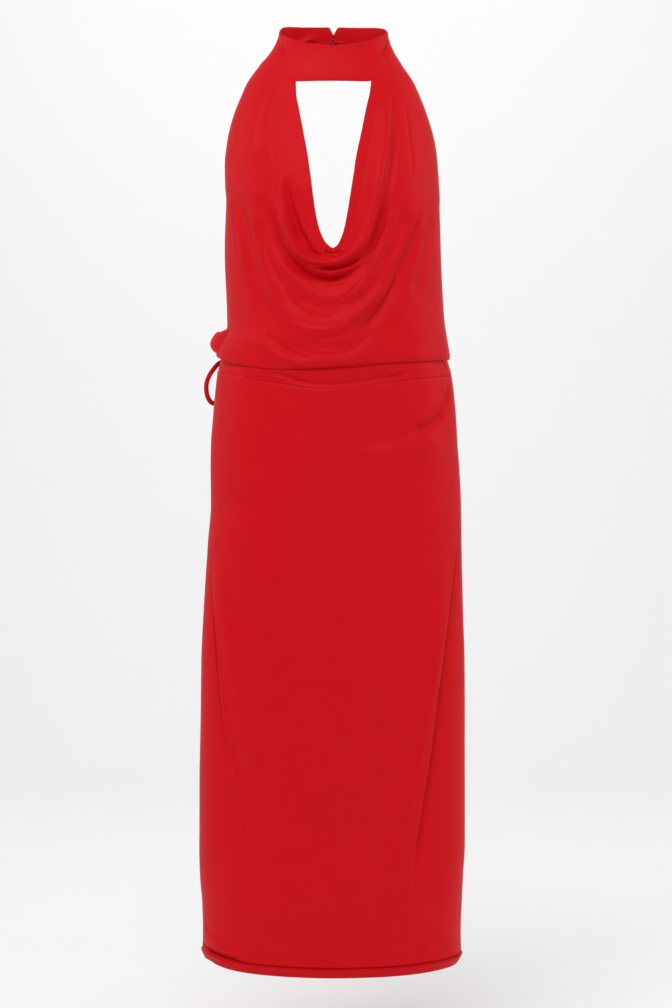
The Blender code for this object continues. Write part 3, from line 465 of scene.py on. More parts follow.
# points as (x, drop, strength), on the front of the skirt
SKIRT_CREASES = (
    ("over the hip ledge", -3.0, 12, 5, (
        (37, 551, 0.4), (57, 549, 0.7), (78, 544, 1), (91, 540, 1), (105, 536, 1),
        (125, 528, 1), (140, 520, 1), (149, 509, 0.8), (155, 492, 0.6))),
    ("right furrow", -3.4, 8, 10, (
        (109, 1130, 0.3), (118, 1077, 0.5), (126, 1024, 0.6), (135, 971, 0.7),
        (142, 918, 0.8), (148, 864, 0.9), (155, 810, 1.1), (163, 757, 1.4), (170, 703, 1.3),
        (173, 665, 0.6))),
    ("left furrow", -6.5, 3, 4.5, (
        (-166, 703, 0.6), (-164, 757, 1), (-162, 811, 1), (-156, 865, 0.9),
        (-150, 921, 0.5))),
    ("left bright line", 2.2, 12, 5, (
        (-160, 742, 0.5), (-154, 811, 0.9), (-148, 878, 1), (-141, 945, 1), (-133, 1005, 1),
        (-122, 1058, 0.6))),
    ("over the left of the hem", -6.0, 9, 2.5, (
        (-179, 1232, 0.8), (-168, 1235.5, 1), (-153, 1239, 1), (-136, 1241.5, 0.8),
        (-117, 1244, 0.4))),
    ("hip ledge", 1.6, 3.5, 24, (
        (27, 555, 0.5), (41, 554, 0.8), (57, 553, 1), (78, 548, 1.1), (91, 545, 1.1),
        (105, 541, 1.1), (125, 534, 1), (140, 525, 0.8), (149, 514, 0.6))),
    ("hip line", -1.0, 3, 5, (
        (140, 525, 0.6), (148, 514, 1), (153, 496, 1), (157, 474, 1), (159, 455, 0.7))),
    ("low hip line", -1.2, 3, 4, (
        (140, 617, 0.6), (144, 598, 1), (149, 578, 1), (152, 560, 0.7))),
    ("left inner crest", 1.4, 10, 12, (
        (-146, 783, 0.6), (-139, 816, 1), (-126, 863, 1), (-111, 916, 1), (-95, 980, 1),
        (-84, 1026, 0.7))),
    ("right inner crest", 1.4, 12, 10, (
        (74, 1149, 0.7), (88, 1096, 1), (103, 1030, 1), (117, 970, 1), (131, 897, 1),
        (142, 837, 0.8), (151, 790, 0.5))),
    ("left hem crest", 1.8, 5, 14, (
        (-177, 1201, 0.7), (-168, 1214, 1), (-151, 1223, 1), (-126, 1231, 1),
        (-94, 1236, 0.7))),
)
# soft forms with no crisp line, in the same measures
SKIRT_SWELLS = (
    ("under the hip ledge", 1.8, 15, 40, (
        (34, 571, 0.6), (68, 569, 1), (100, 562, 1), (130, 552, 1), (150, 538, 0.5))),
    ("over the hem", 4.2, 75, 62, (
        (-150, 1169, 0.5), (-96, 1163, 1), (-42, 1158, 1), (11, 1157, 1), (64, 1155, 1),
        (105, 1150, 0.8), (140, 1143, 0.5))),
)
# points as (azimuth, drop, strength), on the back of the skirt
SKIRT_BACK_CREASES = (
    ("left seat line", -1.6, 4, 8, (
        (-104, 500, 0.6), (-118, 545, 1), (-136, 590, 1), (-152, 622, 0.6))),
    ("right seat line", -1.8, 8, 4, (
        (150, 600, 0.6), (134, 566, 1), (118, 524, 1), (104, 478, 0.7))),
    ("right back line", -1.5, 6, 4, (
        (133, 1150, 0.6), (131, 1020, 1), (124, 880, 1), (117, 760, 0.6))),
    ("left back line", -1.4, 4, 6, (
        (-120, 780, 0.6), (-128, 900, 1), (-134, 1040, 1), (-137, 1150, 0.6))),
)
# points as (azimuth, drop, strength)
BAND_CREASES = (
    ("crease across the front", -2.8, 5, 5, (
        (-34.6, 448, 0.6), (-24.5, 454, 1), (-15.5, 462, 1), (-9, 466, 1), (-1, 467.5, 1),
        (8, 465, 1), (19, 461, 1), (29, 455, 1), (41, 449, 0.6))),
    ("right notch", -3.6, 4, 5, (
        (66, 428, 1), (69, 432, 1), (70.5, 438, 1), (71.5, 446, 0.6))),
    ("right gather", -1.4, 2.5, 3, (
        (64, 436, 0.8), (63.5, 443, 1), (63, 450, 0.6))),
)
# a soft form with no crisp line, in the same measures
BAND_SWELLS = (
    ("under the blouson", 3.6, 12, 16, (
        (-58, 439.5, 0.1), (-44, 444, 0.6), (-22, 449, 1), (0, 447.5, 1), (15, 444.5, 1),
        (29, 441, 0.8), (47, 438, 0.4), (63, 435.5, 0.1))),
)

# ---------------------------------------------------------------- resolution

LINE_STEPS = 6                    # samples for each stretch of a fold's or crease's line
NECKLINE_STEPS = 8
KEYHOLE_FOOT = (230, 50, 4)       # drop, reach and amount of closer steps round its foot
FREE_EDGE_FOOT = (330, 40, 1.5)   # the same, low on the free edges
NEAR_NECKLINE = 0.5               # how far the rows crowd towards the neckline, 0 to 1
BODICE_SIDE = 70
BODICE_WAIST = 150
BODICE_ACROSS = 138
ROLL_STEPS = 16
TURN_ROWS = 5                     # round a turned edge
LEG_ROWS = 4                      # on the cloth that is turned in
COLLAR_AROUND = 260
COLLAR_ROWS = 34
BAND_AROUND = 150
BAND_ROWS = 22
SKIRT_FRONT_AROUND = 190
SKIRT_BACK_AROUND = 130
SKIRT_ROWS = 148
HEM_ROWS = 38                     # closer rows, over HEM_ZONE of the drop above the hem
HEM_ZONE = 22.0
LANES = (0.2, 0.79)               # shares of the front's columns that follow its two turns
LANE_CLEAR = 0.1                  # radians between such a column and the side seam
LANE_PULL = 0.1                   # how far the columns between them crowd towards them
LANE_CROWDING = 1.3               # the same, outside them; 1 is even
CORD_STEPS = 8                    # samples for each stretch of a cord's line
FREE_EDGE_SAMPLES = 80
WAIST_SAMPLES = 200
HEM_SAMPLES = 500                 # of each row of its stitches

# ---------------------------------------------------------------- smooth lookups


def unit(vector):
    return vector / np.linalg.norm(vector, axis=-1, keepdims=True)


def smooth_lookup(value, places, amounts):
    """Read a table along a smooth curve through its rows that never overshoots them."""
    places = np.asarray(places, float)
    amounts = np.asarray(amounts, float)
    step = np.diff(places)
    rise = np.diff(amounts) / step
    slope = np.zeros_like(amounts)
    same_way = rise[:-1] * rise[1:] > 0
    total = np.where(same_way, rise[:-1] + rise[1:], 1.0)
    slope[1:-1] = np.where(same_way, 2 * rise[:-1] * rise[1:] / total, 0.0)
    slope[0] = rise[0]
    slope[-1] = rise[-1]
    value = np.clip(value, places[0], places[-1])
    cell = np.clip(np.searchsorted(places, value, "right") - 1, 0, len(step) - 1)
    t = (value - places[cell]) / step[cell]
    start = amounts[cell] * (2 * t**3 - 3 * t**2 + 1)
    finish = amounts[cell + 1] * (3 * t**2 - 2 * t**3)
    leave = slope[cell] * step[cell] * (t**3 - 2 * t**2 + t)
    arrive = slope[cell + 1] * step[cell] * (t**3 - t**2)
    return start + finish + leave + arrive


def by_azimuth(azimuth, table):
    """Read a table whose first column is an azimuth in degrees."""
    return smooth_lookup(np.degrees(azimuth), table[:, 0], table[:, 1])


def fade(value):
    """Rise smoothly from 0 to 1."""
    value = np.clip(value, 0.0, 1.0)
    return value * value * (3 - 2 * value)


def curve_through(points, steps):
    """A smooth line through given points, with steps samples for each stretch."""
    points = np.asarray(points, float)
    ends = np.vstack([2 * points[0] - points[1], points, 2 * points[-1] - points[-2]])
    line = []
    for before, start, finish, after in zip(ends, ends[1:], ends[2:], ends[3:]):
        for t in np.arange(steps) / steps:
            line.append(0.5 * (2 * start + (finish - before) * t
                               + (2 * before - 5 * start + 4 * finish - after) * t**2
                               + (3 * start - before - 3 * finish + after) * t**3))
    line.append(points[-1])
    return np.array(line)


# ---------------------------------------------------------------- the worn form


def ring_point(azimuth, drop, form, inset=0.0):
    """A point of the form's section at this drop, moved inwards by inset."""
    left, right, front, behind = (
        smooth_lookup(drop, form[:, 0], form[:, column]) - inset for column in (1, 2, 3, 4))
    sine = np.sin(azimuth)
    cosine = np.cos(azimuth)
    x = np.where(sine < 0, left, right) * sine * (1 + FULLNESS * cosine**2)
    y = -np.where(cosine > 0, front, behind) * cosine * (1 + FULLNESS * sine**2)
    return np.stack([x, y, -drop + 0 * x], axis=-1)


def azimuth_of_x(x, drop, form):
    """The azimuth in the front half whose point on the form has this x."""
    turn = np.radians(np.linspace(-90, 90, 361))
    return np.array([np.interp(one_x, ring_point(turn, np.full_like(turn, one_drop), form)[:, 0],
                               turn)
                     for one_x, one_drop in zip(x, drop)])


def roll_start(azimuth):
    """Drop at which the bodice begins to turn under at the waist."""
    return by_azimuth(azimuth, BLOUSON_EDGE) - ROLL_RISE


def bodice_base(azimuth, drop):
    """The bodice without its folds. Past roll_start it turns under and up to the waistband."""
    start = roll_start(azimuth)
    turn = np.clip((drop - start) / ROLL_RISE, 0.0, math.pi)
    rise = np.clip(drop - start - math.pi * ROLL_RISE, 0.0, None)
    hanging = np.minimum(drop, start)
    outer = ring_point(azimuth, hanging, BODICE_FORM)
    inner = ring_point(azimuth, start - rise, SKIRT_FORM, -LEG_CLEARANCE)
    across = np.cos(turn)
    inward = ((1 - np.sign(across) * np.abs(across)**ROLL_SHAPE) / 2)[..., None]
    point = outer + (inner - outer) * inward
    point[..., 2] = -hanging - ROLL_RISE * np.sin(turn)**ROLL_SHAPE + rise
    return point


def skirt_base(azimuth, drop):
    return ring_point(azimuth, drop, SKIRT_FORM)


def outward(base, azimuth, drop):
    """Unit normals of a base form, pointing away from the wearer."""
    small = 0.01
    around = base(azimuth + small / FLAT_RADIUS, drop) - base(azimuth - small / FLAT_RADIUS, drop)
    down = base(azimuth, drop + small) - base(azimuth, drop - small)
    return unit(np.cross(down, around))


# ---------------------------------------------------------------- folds


def flat_line(points, form):
    """A fold's line on the opened-out cloth, from (x, drop, width) or (azimuth, drop, width)."""
    line = curve_through(points, LINE_STEPS)
    if form is None:
        turn = np.radians(line[:, 0])
    else:
        turn = azimuth_of_x(line[:, 0], line[:, 1], form)
    return np.stack([turn * FLAT_RADIUS, line[:, 1], line[:, 2]], axis=1)


def on_bodice(points):
    return flat_line(points, BODICE_FORM)


def on_skirt(points):
    return flat_line(points, SKIRT_FORM)


def by_angle(points):
    return flat_line(points, None)


def nearest_on_line(place, line):
    """For each place: distance to the line, which side, share of its length, and width there."""
    best = np.full(place.shape[:-1], 1e9)
    side = np.zeros_like(best)
    share = np.zeros_like(best)
    width = np.ones_like(best)
    lengths = np.linalg.norm(np.diff(line[:, :2], axis=0), axis=1)
    total = lengths.sum()
    travelled = 0.0
    for start, finish, length in zip(line[:-1], line[1:], lengths):
        direction = (finish[:2] - start[:2]) / length
        offset = place - start[:2]
        along = np.clip(offset @ direction, 0, length)
        gap = offset - along[..., None] * direction
        distance = np.linalg.norm(gap, axis=-1)
        closer = distance < best
        cross = direction[0] * offset[..., 1] - direction[1] * offset[..., 0]
        best = np.where(closer, distance, best)
        side = np.where(closer, np.sign(cross), side)
        share = np.where(closer, (travelled + along) / total, share)
        width = np.where(closer, start[2] + (finish[2] - start[2]) * along / length, width)
        travelled += length
    return best, side, share, width


def wrapped(azimuth):
    return (azimuth + math.pi) % (2 * math.pi) - math.pi


def opened_out(azimuth, drop):
    return np.stack([azimuth * FLAT_RADIUS, drop + 0 * azimuth], axis=-1)


def fold_height(azimuth, drop, folds, form):
    """Sum of soft ridges and hollows, each dying away towards its ends."""
    place = opened_out(azimuth, drop)
    height = np.zeros(place.shape[:-1])
    for _name, amount, points in folds:
        distance, _side, share, width = nearest_on_line(place, flat_line(points, form))
        bump = np.clip(1 - (distance / (FOLD_REACH * width))**2, 0, None)**2
        height += amount * bump * fade(share / FOLD_ENDS) * fade((1 - share) / FOLD_ENDS)
    return height


def crease_height(place, creases, line_of, soft=False):
    """Sum of crisp or soft lines, each with its own reach on either side, uneven in strength."""
    height = np.zeros(place.shape[:-1])
    for _name, amount, first, second, points in creases:
        distance, side, share, strength = nearest_on_line(place, line_of(points))
        reach = np.where(side > 0, second, first)
        if soft:
            fall = np.clip(1 - (distance / reach)**2, 0, None)**2
        else:
            fall = np.clip(1 - (np.sqrt(distance**2 + SOFTEST**2) - SOFTEST) / reach, 0, None)**2
        height += amount * strength * fall * fade(share / CREASE_ENDS) * fade(
            (1 - share) / CREASE_ENDS)
    return height


def turn_height(azimuth, drop, width):
    """The skirt's front panel falls away sharply outside each turn and comes back slowly."""
    place = opened_out(azimuth, drop)
    height = np.zeros(place.shape[:-1])
    for _name, depth, points in SKIRT_TURNS:
        distance, side, share, reach = nearest_on_line(place, flat_line(points, SKIRT_FORM))
        away = np.sign(azimuth) * -side * distance
        step = fade(away / width + 0.5) * np.exp(-np.clip(away, 0, None) / reach)
        height -= depth * step * fade(share / TURN_STARTS) * fade((1 - share) / TURN_ENDS)
    return height


def puff_height(azimuth, drop):
    around = (azimuth - PUFF_AZIMUTH) * FLAT_RADIUS / PUFF_REACH
    down = (drop - PUFF_DROP) / PUFF_HALF_HEIGHT
    return PUFF_HEIGHT * np.clip(1 - around**2, 0, None) * np.sqrt(np.clip(1 - down**2, 0, None))


def bodice_point(azimuth, drop):
    """The bodice's outer side, folds and all."""
    height = fold_height(azimuth, drop, BODICE_FOLDS, BODICE_FORM)
    height += fold_height(azimuth, drop, SIDE_BACK_FOLDS, None)
    height += puff_height(azimuth, drop)
    height *= fade(1 - (drop - roll_start(azimuth)) / (2 * ROLL_RISE))
    return bodice_base(azimuth, drop) + height[..., None] * outward(bodice_base, azimuth, drop)


def bodice_surface(azimuth, drop):
    """The same with the thin cloth's creases."""
    place = opened_out(azimuth, drop)
    height = crease_height(place, BODICE_CREASES, on_bodice)
    height += crease_height(place, BODICE_SWELLS, on_bodice, soft=True)
    height += crease_height(place, SIDE_CREASES, by_angle)
    height *= fade(1 - (drop - roll_start(azimuth)) / (2 * ROLL_RISE))
    return bodice_point(azimuth, drop) + height[..., None] * outward(bodice_base, azimuth, drop)


def skirt_point(azimuth, drop):
    """The skirt's outer side. The azimuth may run past 180 degrees, round the back."""
    turn = wrapped(azimuth)
    height = fold_height(turn, drop, SKIRT_FOLDS, SKIRT_FORM)
    height += fold_height(turn, drop, SKIRT_BACK_FOLDS, None)
    height += turn_height(turn, drop, TURN_STEP)
    below = drop - by_azimuth(turn, HEM_EDGE) + HEM_DEPTH
    height += HEM_STEP * fade(below / HEM_STEP_LENGTH + 0.5)
    return skirt_base(turn, drop) + height[..., None] * outward(skirt_base, turn, drop)


def skirt_surface(azimuth, drop):
    """The same with the thin cloth's creases and the doubled hem's own shape."""
    turn = wrapped(azimuth)
    place = opened_out(turn, drop)
    below = drop - by_azimuth(turn, HEM_EDGE) + HEM_DEPTH
    height = turn_height(turn, drop, CRISP_TURN) - turn_height(turn, drop, TURN_STEP)
    height += crease_height(place, SKIRT_CREASES, on_skirt)
    height += crease_height(place, SKIRT_SWELLS, on_skirt, soft=True)
    height += crease_height(place, SKIRT_BACK_CREASES, by_angle)
    fall = HEM_FALL * np.clip(below / HEM_DEPTH, 0, None)**HEM_FALL_CURVE
    height += (HEM_RIM - fall) * fade(below / HEM_RIM_LENGTH)
    height -= HEM_GROOVE * np.clip(
        1 - ((below + HEM_GROOVE_RISE) / HEM_GROOVE_REACH)**2, 0, None)**2
    return skirt_point(turn, drop) + height[..., None] * outward(skirt_base, turn, drop)


# ---------------------------------------------------------------- the bodice's grid


def even_steps(line, weight, count):
    """count + 1 points along a line, spaced evenly by its weighted length."""
    lengths = np.linalg.norm(np.diff(line[:, :2], axis=0), axis=1) * weight
    reached = np.concatenate([[0], np.cumsum(lengths)])
    wanted = np.linspace(0, reached[-1], count + 1)
    return np.stack([np.interp(wanted, reached, line[:, column]) for column in (0, 1)], axis=1)


def offset_line(line, distance):
    """A line on the opened-out cloth moved sideways, to its left where distance is positive."""
    along = unit(np.gradient(line, axis=0))
    return line + distance * np.stack([along[:, 1], -along[:, 0]], axis=1)


def neckline(count):
    """The keyhole's edge on the opened-out cloth, closer steps round its foot."""
    left = KEYHOLE[:, [1, 0]]
    right = KEYHOLE[::-1][:, [2, 0]]
    edge = curve_through(np.vstack([left, right]), NECKLINE_STEPS)
    turn = azimuth_of_x(edge[:, 0], edge[:, 1], BODICE_FORM)
    line = np.stack([turn * FLAT_RADIUS, edge[:, 1]], axis=1)
    line = offset_line(line, -NECK_EDGE_RADIUS)
    foot, reach, closer = KEYHOLE_FOOT
    return even_steps(line, 1 + closer * fade((line[1:, 1] - foot) / reach), count)


def free_edge_line(side):
    """Armhole and back edge, from the collar down to where the waist begins to roll."""
    drop = np.linspace(seam_drop(side * math.radians(90)), FREE_EDGE_SEARCH, FREE_EDGE_SAMPLES)
    turn = side * np.radians(smooth_lookup(drop, FREE_EDGE[:, 0], FREE_EDGE[:, 1]))
    inside = drop < roll_start(turn)
    turn = turn[inside] - side * EDGE_RADIUS / FLAT_RADIUS
    drop = drop[inside]
    return np.stack([turn * FLAT_RADIUS, drop], axis=1)


def seam_drop(azimuth):
    """Where the bodice begins, sewn in between the collar's two layers."""
    return by_azimuth(azimuth, COLLAR_SEAM) - TUCK_UNDER_COLLAR


def outer_edge(count_side, count_waist):
    """Down the left free edge, along the waist and up the right one."""
    left = free_edge_line(-1)
    right = free_edge_line(1)[::-1]
    turn = np.linspace(left[-1, 0], right[0, 0], WAIST_SAMPLES) / FLAT_RADIUS
    waist = np.stack([turn * FLAT_RADIUS, roll_start(turn)], axis=1)
    foot, reach, closer = FREE_EDGE_FOOT
    left_weight, right_weight = (1 + closer * fade((edge[1:, 1] - foot) / reach)
                                 for edge in (left, right))
    return np.vstack([even_steps(left, left_weight, count_side)[:-1],
                      even_steps(waist, 1, count_waist),
                      even_steps(right, right_weight, count_side)[1:]])


def bodice_patch(count_side, count_waist, across):
    """Azimuth and drop of a grid whose rows are nested swags, from the neckline outwards."""
    along = 2 * count_side + count_waist
    inner = neckline(along)
    outer = outer_edge(count_side, count_waist)
    even = np.linspace(0, 1, across + 1)
    v = NEAR_NECKLINE * even**2 + (1 - NEAR_NECKLINE) * even
    starts = []
    for first, last in ((inner[0], outer[0]), (inner[-1], outer[-1])):
        flat = first[0] + (last[0] - first[0]) * v
        starts.append(np.stack([flat, seam_drop(flat / FLAT_RADIUS)], axis=1))
    u = np.linspace(0, 1, along + 1)[None, :, None]
    v = v[:, None, None]
    ends = starts[0][:, None] * (1 - u) + starts[1][:, None] * u
    corners = ((1 - u) * (1 - v) * inner[0] + u * (1 - v) * inner[-1]
               + (1 - u) * v * outer[0] + u * v * outer[-1])
    flat = (1 - v) * inner[None] + v * outer[None] + ends - corners
    return flat[..., 0] / FLAT_RADIUS, flat[..., 1]


# ---------------------------------------------------------------- collar and waistband


def collar_crease(azimuth, height):
    """Fine relief of the collar, in mm outwards."""
    def line_of(points):
        line = curve_through(points, LINE_STEPS)
        return np.stack([np.radians(line[:, 0]) * NECK_HALF_WIDTH, line[:, 1] * COLLAR_HEIGHT,
                         line[:, 2]], axis=1)

    place = np.stack([azimuth * NECK_HALF_WIDTH, height * COLLAR_HEIGHT], axis=-1)
    return crease_height(place, COLLAR_CREASES, line_of)


def collar_point(azimuth, height):
    """The collar's outer side: height 0 at its seam, 1 at its top edge."""
    bottom = ring_point(azimuth, by_azimuth(azimuth, COLLAR_SEAM), BODICE_FORM, -COLLAR_PROUD)
    sine = np.sin(azimuth)
    cosine = np.cos(azimuth)
    across = NECK_HALF_WIDTH * sine * (1 + NECK_FULLNESS * cosine**2)
    forward = NECK_HALF_DEPTH * cosine * (1 + NECK_FULLNESS * sine**2)
    top = np.stack([NECK_CENTRE_X + across, NECK_CENTRE_Y - forward,
                    by_azimuth(azimuth, COLLAR_RIM)], axis=-1)
    rise = height[..., None]
    point = top + (bottom - top) * (1 - rise)**COLLAR_FLARE
    point[..., 2:] = bottom[..., 2:] + (top - bottom)[..., 2:] * rise
    return point


def band_point(azimuth, drop):
    """The waistband's outer side."""
    turn = wrapped(azimuth)
    place = opened_out(turn, drop)
    height = crease_height(place, BAND_CREASES, by_angle)
    height += crease_height(place, BAND_SWELLS, by_angle, soft=True)
    return skirt_base(turn, drop) + height[..., None] * outward(skirt_base, turn, drop)


def inside_collar(x, height, clearance):
    """Points inside the back of the collar, clear of its lining side."""
    azimuth = math.pi - np.asarray(x, float) / NECK_HALF_WIDTH
    height = np.asarray(height, float)
    small = 0.001
    point = collar_point(azimuth, height)
    up = collar_point(azimuth, height + small) - point
    around = collar_point(azimuth + small, height) - point
    normal = unit(np.cross(up, around))
    return point + normal * (COLLAR_WALL + WIRE_DIAMETER / 2 + clearance)[..., None]


def beside_skirt(azimuth, drop, clearance):
    """Points that stand out from the skirt, for what hangs on it."""
    turn = wrapped(np.radians(np.asarray(azimuth, float)))
    drop = np.asarray(drop, float)
    return skirt_point(turn, drop) + outward(skirt_base, turn, drop) * clearance[..., None]


# ---------------------------------------------------------------- turned edges


def edge_profile(reach, radius, leg):
    """Shift outwards and depth of each row of an edge that is turned in and laid flat inside."""
    turn = np.linspace(0, math.pi, TURN_ROWS + 1)[1:]
    shift = list(reach * np.sin(turn))
    depth = list(radius * (1 - np.cos(turn)))
    for step in np.linspace(0, leg, LEG_ROWS + 1)[1:]:
        shift.append(-step)
        depth.append(2 * radius)
    return np.array(shift), np.array(depth)


class Cloth:
    """A grid of points in mm with its flat measures and directions, rows down, columns round."""

    def __init__(self, points, flat):
        self.points = points
        self.flat = flat
        down = np.gradient(points, axis=0)
        around = np.gradient(points, axis=1)
        self.normal = unit(np.cross(down, around))
        self.down = unit(down)
        self.around = unit(around - (around * self.down).sum(-1, keepdims=True) * self.down)

    def turn_rows(self, last, radius, leg, reach=None):
        """Turns in the first or the last row."""
        self._turn(0, last, radius, leg, reach or radius, self.down)

    def turn_columns(self, last, radius, leg, reach=None):
        """Turns in the first or the last column."""
        self._turn(1, last, radius, leg, reach or radius, self.around)

    def _turn(self, axis, last, radius, leg, reach, direction):
        end = -1 if last else 0
        outwards = 1 if last else -1
        shift, depth = edge_profile(reach, radius, leg)
        new = {}
        base = np.take(self.points, [end], axis)
        normal = np.take(self.normal, [end], axis)
        out = np.take(direction, [end], axis) * outwards
        shape = [1, 1, 1]
        shape[axis] = len(shift)
        shift = shift.reshape(shape)
        depth = depth.reshape(shape)
        new["points"] = base + out * shift - normal * depth
        flat = np.take(self.flat, [end], axis)
        step = np.zeros(2)
        step[1 - axis] = outwards
        new["flat"] = flat + step * np.abs(shift - depth)
        for name in ("normal", "down", "around"):
            new[name] = np.repeat(np.take(getattr(self, name), [end], axis), shift.size, axis)
        for name, rows in new.items():
            old = getattr(self, name)
            if last:
                setattr(self, name, np.concatenate([old, rows], axis))
            else:
                setattr(self, name, np.concatenate([np.flip(rows, axis), old], axis))


# ---------------------------------------------------------------- Blender objects


def add_object(name, data, material, nodes):
    """A piece of the dress: it rides on the body and stands for its solids."""
    item = bpy.data.objects.new(name, data)
    data.materials.append(material)
    bpy.context.scene.collection.objects.link(item)
    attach(item, "root")
    if nodes:
        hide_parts(*nodes)
    return item


def grid_mesh(name, grids):
    """One mesh from grids of (points in mm, flat in mm), welded where they meet."""
    points = np.vstack([one.reshape(-1, 3) for one, _flat in grids]) * MM
    flats = np.vstack([flat.reshape(-1, 2) for _one, flat in grids]) * MM
    faces = []
    start = 0
    for one, _flat in grids:
        rows, columns = one.shape[:2]
        number = np.arange(rows * columns).reshape(rows, columns) + start
        faces.append(np.stack([number[:-1, :-1], number[1:, :-1], number[1:, 1:],
                               number[:-1, 1:]], axis=-1).reshape(-1, 4))
        start += rows * columns
    faces = np.vstack(faces)
    mesh = bpy.data.meshes.new(name)
    mesh.from_pydata(points.tolist(), [], faces.tolist())
    layer = mesh.uv_layers.new(name="cloth")
    layer.data.foreach_set("uv", flats[faces.reshape(-1)].astype(np.float32).reshape(-1))
    welded = bmesh.new()
    welded.from_mesh(mesh)
    bmesh.ops.remove_doubles(welded, verts=welded.verts, dist=WELD * MM)
    bmesh.ops.dissolve_degenerate(welded, edges=welded.edges, dist=WELD * MM)
    welded.to_mesh(mesh)
    welded.free()
    mesh.shade_smooth()
    return mesh


def add_cloth(name, cloths, material, nodes):
    mesh = grid_mesh(name, [(cloth.points, cloth.flat) for cloth in cloths])
    item = add_object(name, mesh, material, nodes)
    solid = item.modifiers.new("wall", "SOLIDIFY")
    solid.thickness = CLOTH * MM
    solid.offset = -1
    return item


def length_reached(line):
    """How far along a line each of its points lies."""
    return np.concatenate([[0], np.cumsum(np.linalg.norm(np.diff(line, axis=0), axis=1))])


def add_tube(name, line, diameter, material, nodes, closed=False, rounded=False):
    """A cord or wire along a line in mm; the last few points close up where it is rounded."""
    curve = bpy.data.curves.new(name, "CURVE")
    curve.dimensions = "3D"
    curve.bevel_depth = diameter * MM / 2
    curve.bevel_resolution = 6
    curve.use_fill_caps = True
    spline = curve.splines.new("POLY")
    spline.points.add(len(line) - 1)
    for point, place in zip(spline.points, line * MM):
        point.co = (*place, 1)
    spline.use_cyclic_u = closed
    if rounded:
        left = np.linalg.norm(line - line[-1], axis=1) / (diameter / 2)
        for point, share in zip(spline.points, left):
            if share < 1:
                point.radius = max(0.12, math.sqrt(1 - (1 - share)**2))
    return add_object(name, curve, material, nodes)


def tube_points(line, radius, sides):
    """Rings round a line, as a grid: one row for each point of the line."""
    along = unit(np.gradient(line, axis=0))
    reference = np.array([0.13, 0.31, 1.0])
    side = unit(np.cross(along, reference))
    up = np.cross(side, along)
    turn = np.linspace(0, 2 * math.pi, sides + 1)[None, :, None]
    return line[:, None] + radius * (np.cos(turn) * side[:, None] + np.sin(turn) * up[:, None])


def add_stitches(name, lines, material):
    """Rows of sewn stitches: each a short thread that dips into the cloth at both ends.

    A line is (points, normals) in mm.
    """
    along = np.linspace(-1, 1, 7)
    lift = THREAD * (0.55 * (1 - along**4) - 0.35)
    thick = THREAD / 2 * np.sqrt(np.clip(1.02 - along**6, 0, 1))
    turn = np.arange(STITCH_SIDES) * 2 * math.pi / STITCH_SIDES
    template = []
    for place, rise, radius in zip(along, lift, thick):
        for angle in turn:
            template.append((place * STITCH_LENGTH / 2, radius * math.cos(angle),
                             rise + radius * math.sin(angle)))
    template = np.array(template)
    ring = np.arange(STITCH_SIDES)
    beside = (ring + 1) % STITCH_SIDES
    faces = np.vstack([
        np.stack([start + ring, start + beside, start + STITCH_SIDES + beside,
                  start + STITCH_SIDES + ring], axis=1)
        for start in np.arange(len(along) - 1) * STITCH_SIDES])
    all_points = []
    all_faces = []
    count = 0
    for line, normals in lines:
        reached = length_reached(line)
        number = int(reached[-1] // STITCH_PITCH)
        wanted = (np.arange(number) + 0.5) * STITCH_PITCH
        place, normal, ahead = (
            np.stack([np.interp(wanted + more, reached, values[:, k]) for k in range(3)], axis=1)
            for values, more in ((line, 0), (normals, 0), (line, 0.2)))
        direction = unit(ahead - place)
        normal = unit(normal - (normal * direction).sum(1, keepdims=True) * direction)
        side = np.cross(normal, direction)
        stitch = (place[:, None] + direction[:, None] * template[None, :, :1]
                  + side[:, None] * template[None, :, 1:2]
                  + normal[:, None] * template[None, :, 2:])
        offset = (np.arange(number) * len(template) + count)[:, None, None]
        all_points.append(stitch.reshape(-1, 3))
        all_faces.append((faces[None] + offset).reshape(-1, 4))
        count += number * len(template)
    mesh = bpy.data.meshes.new(name)
    mesh.from_pydata((np.vstack(all_points) * MM).tolist(), [], np.vstack(all_faces).tolist())
    mesh.shade_smooth()
    return add_object(name, mesh, material, ())


# ---------------------------------------------------------------- the pieces


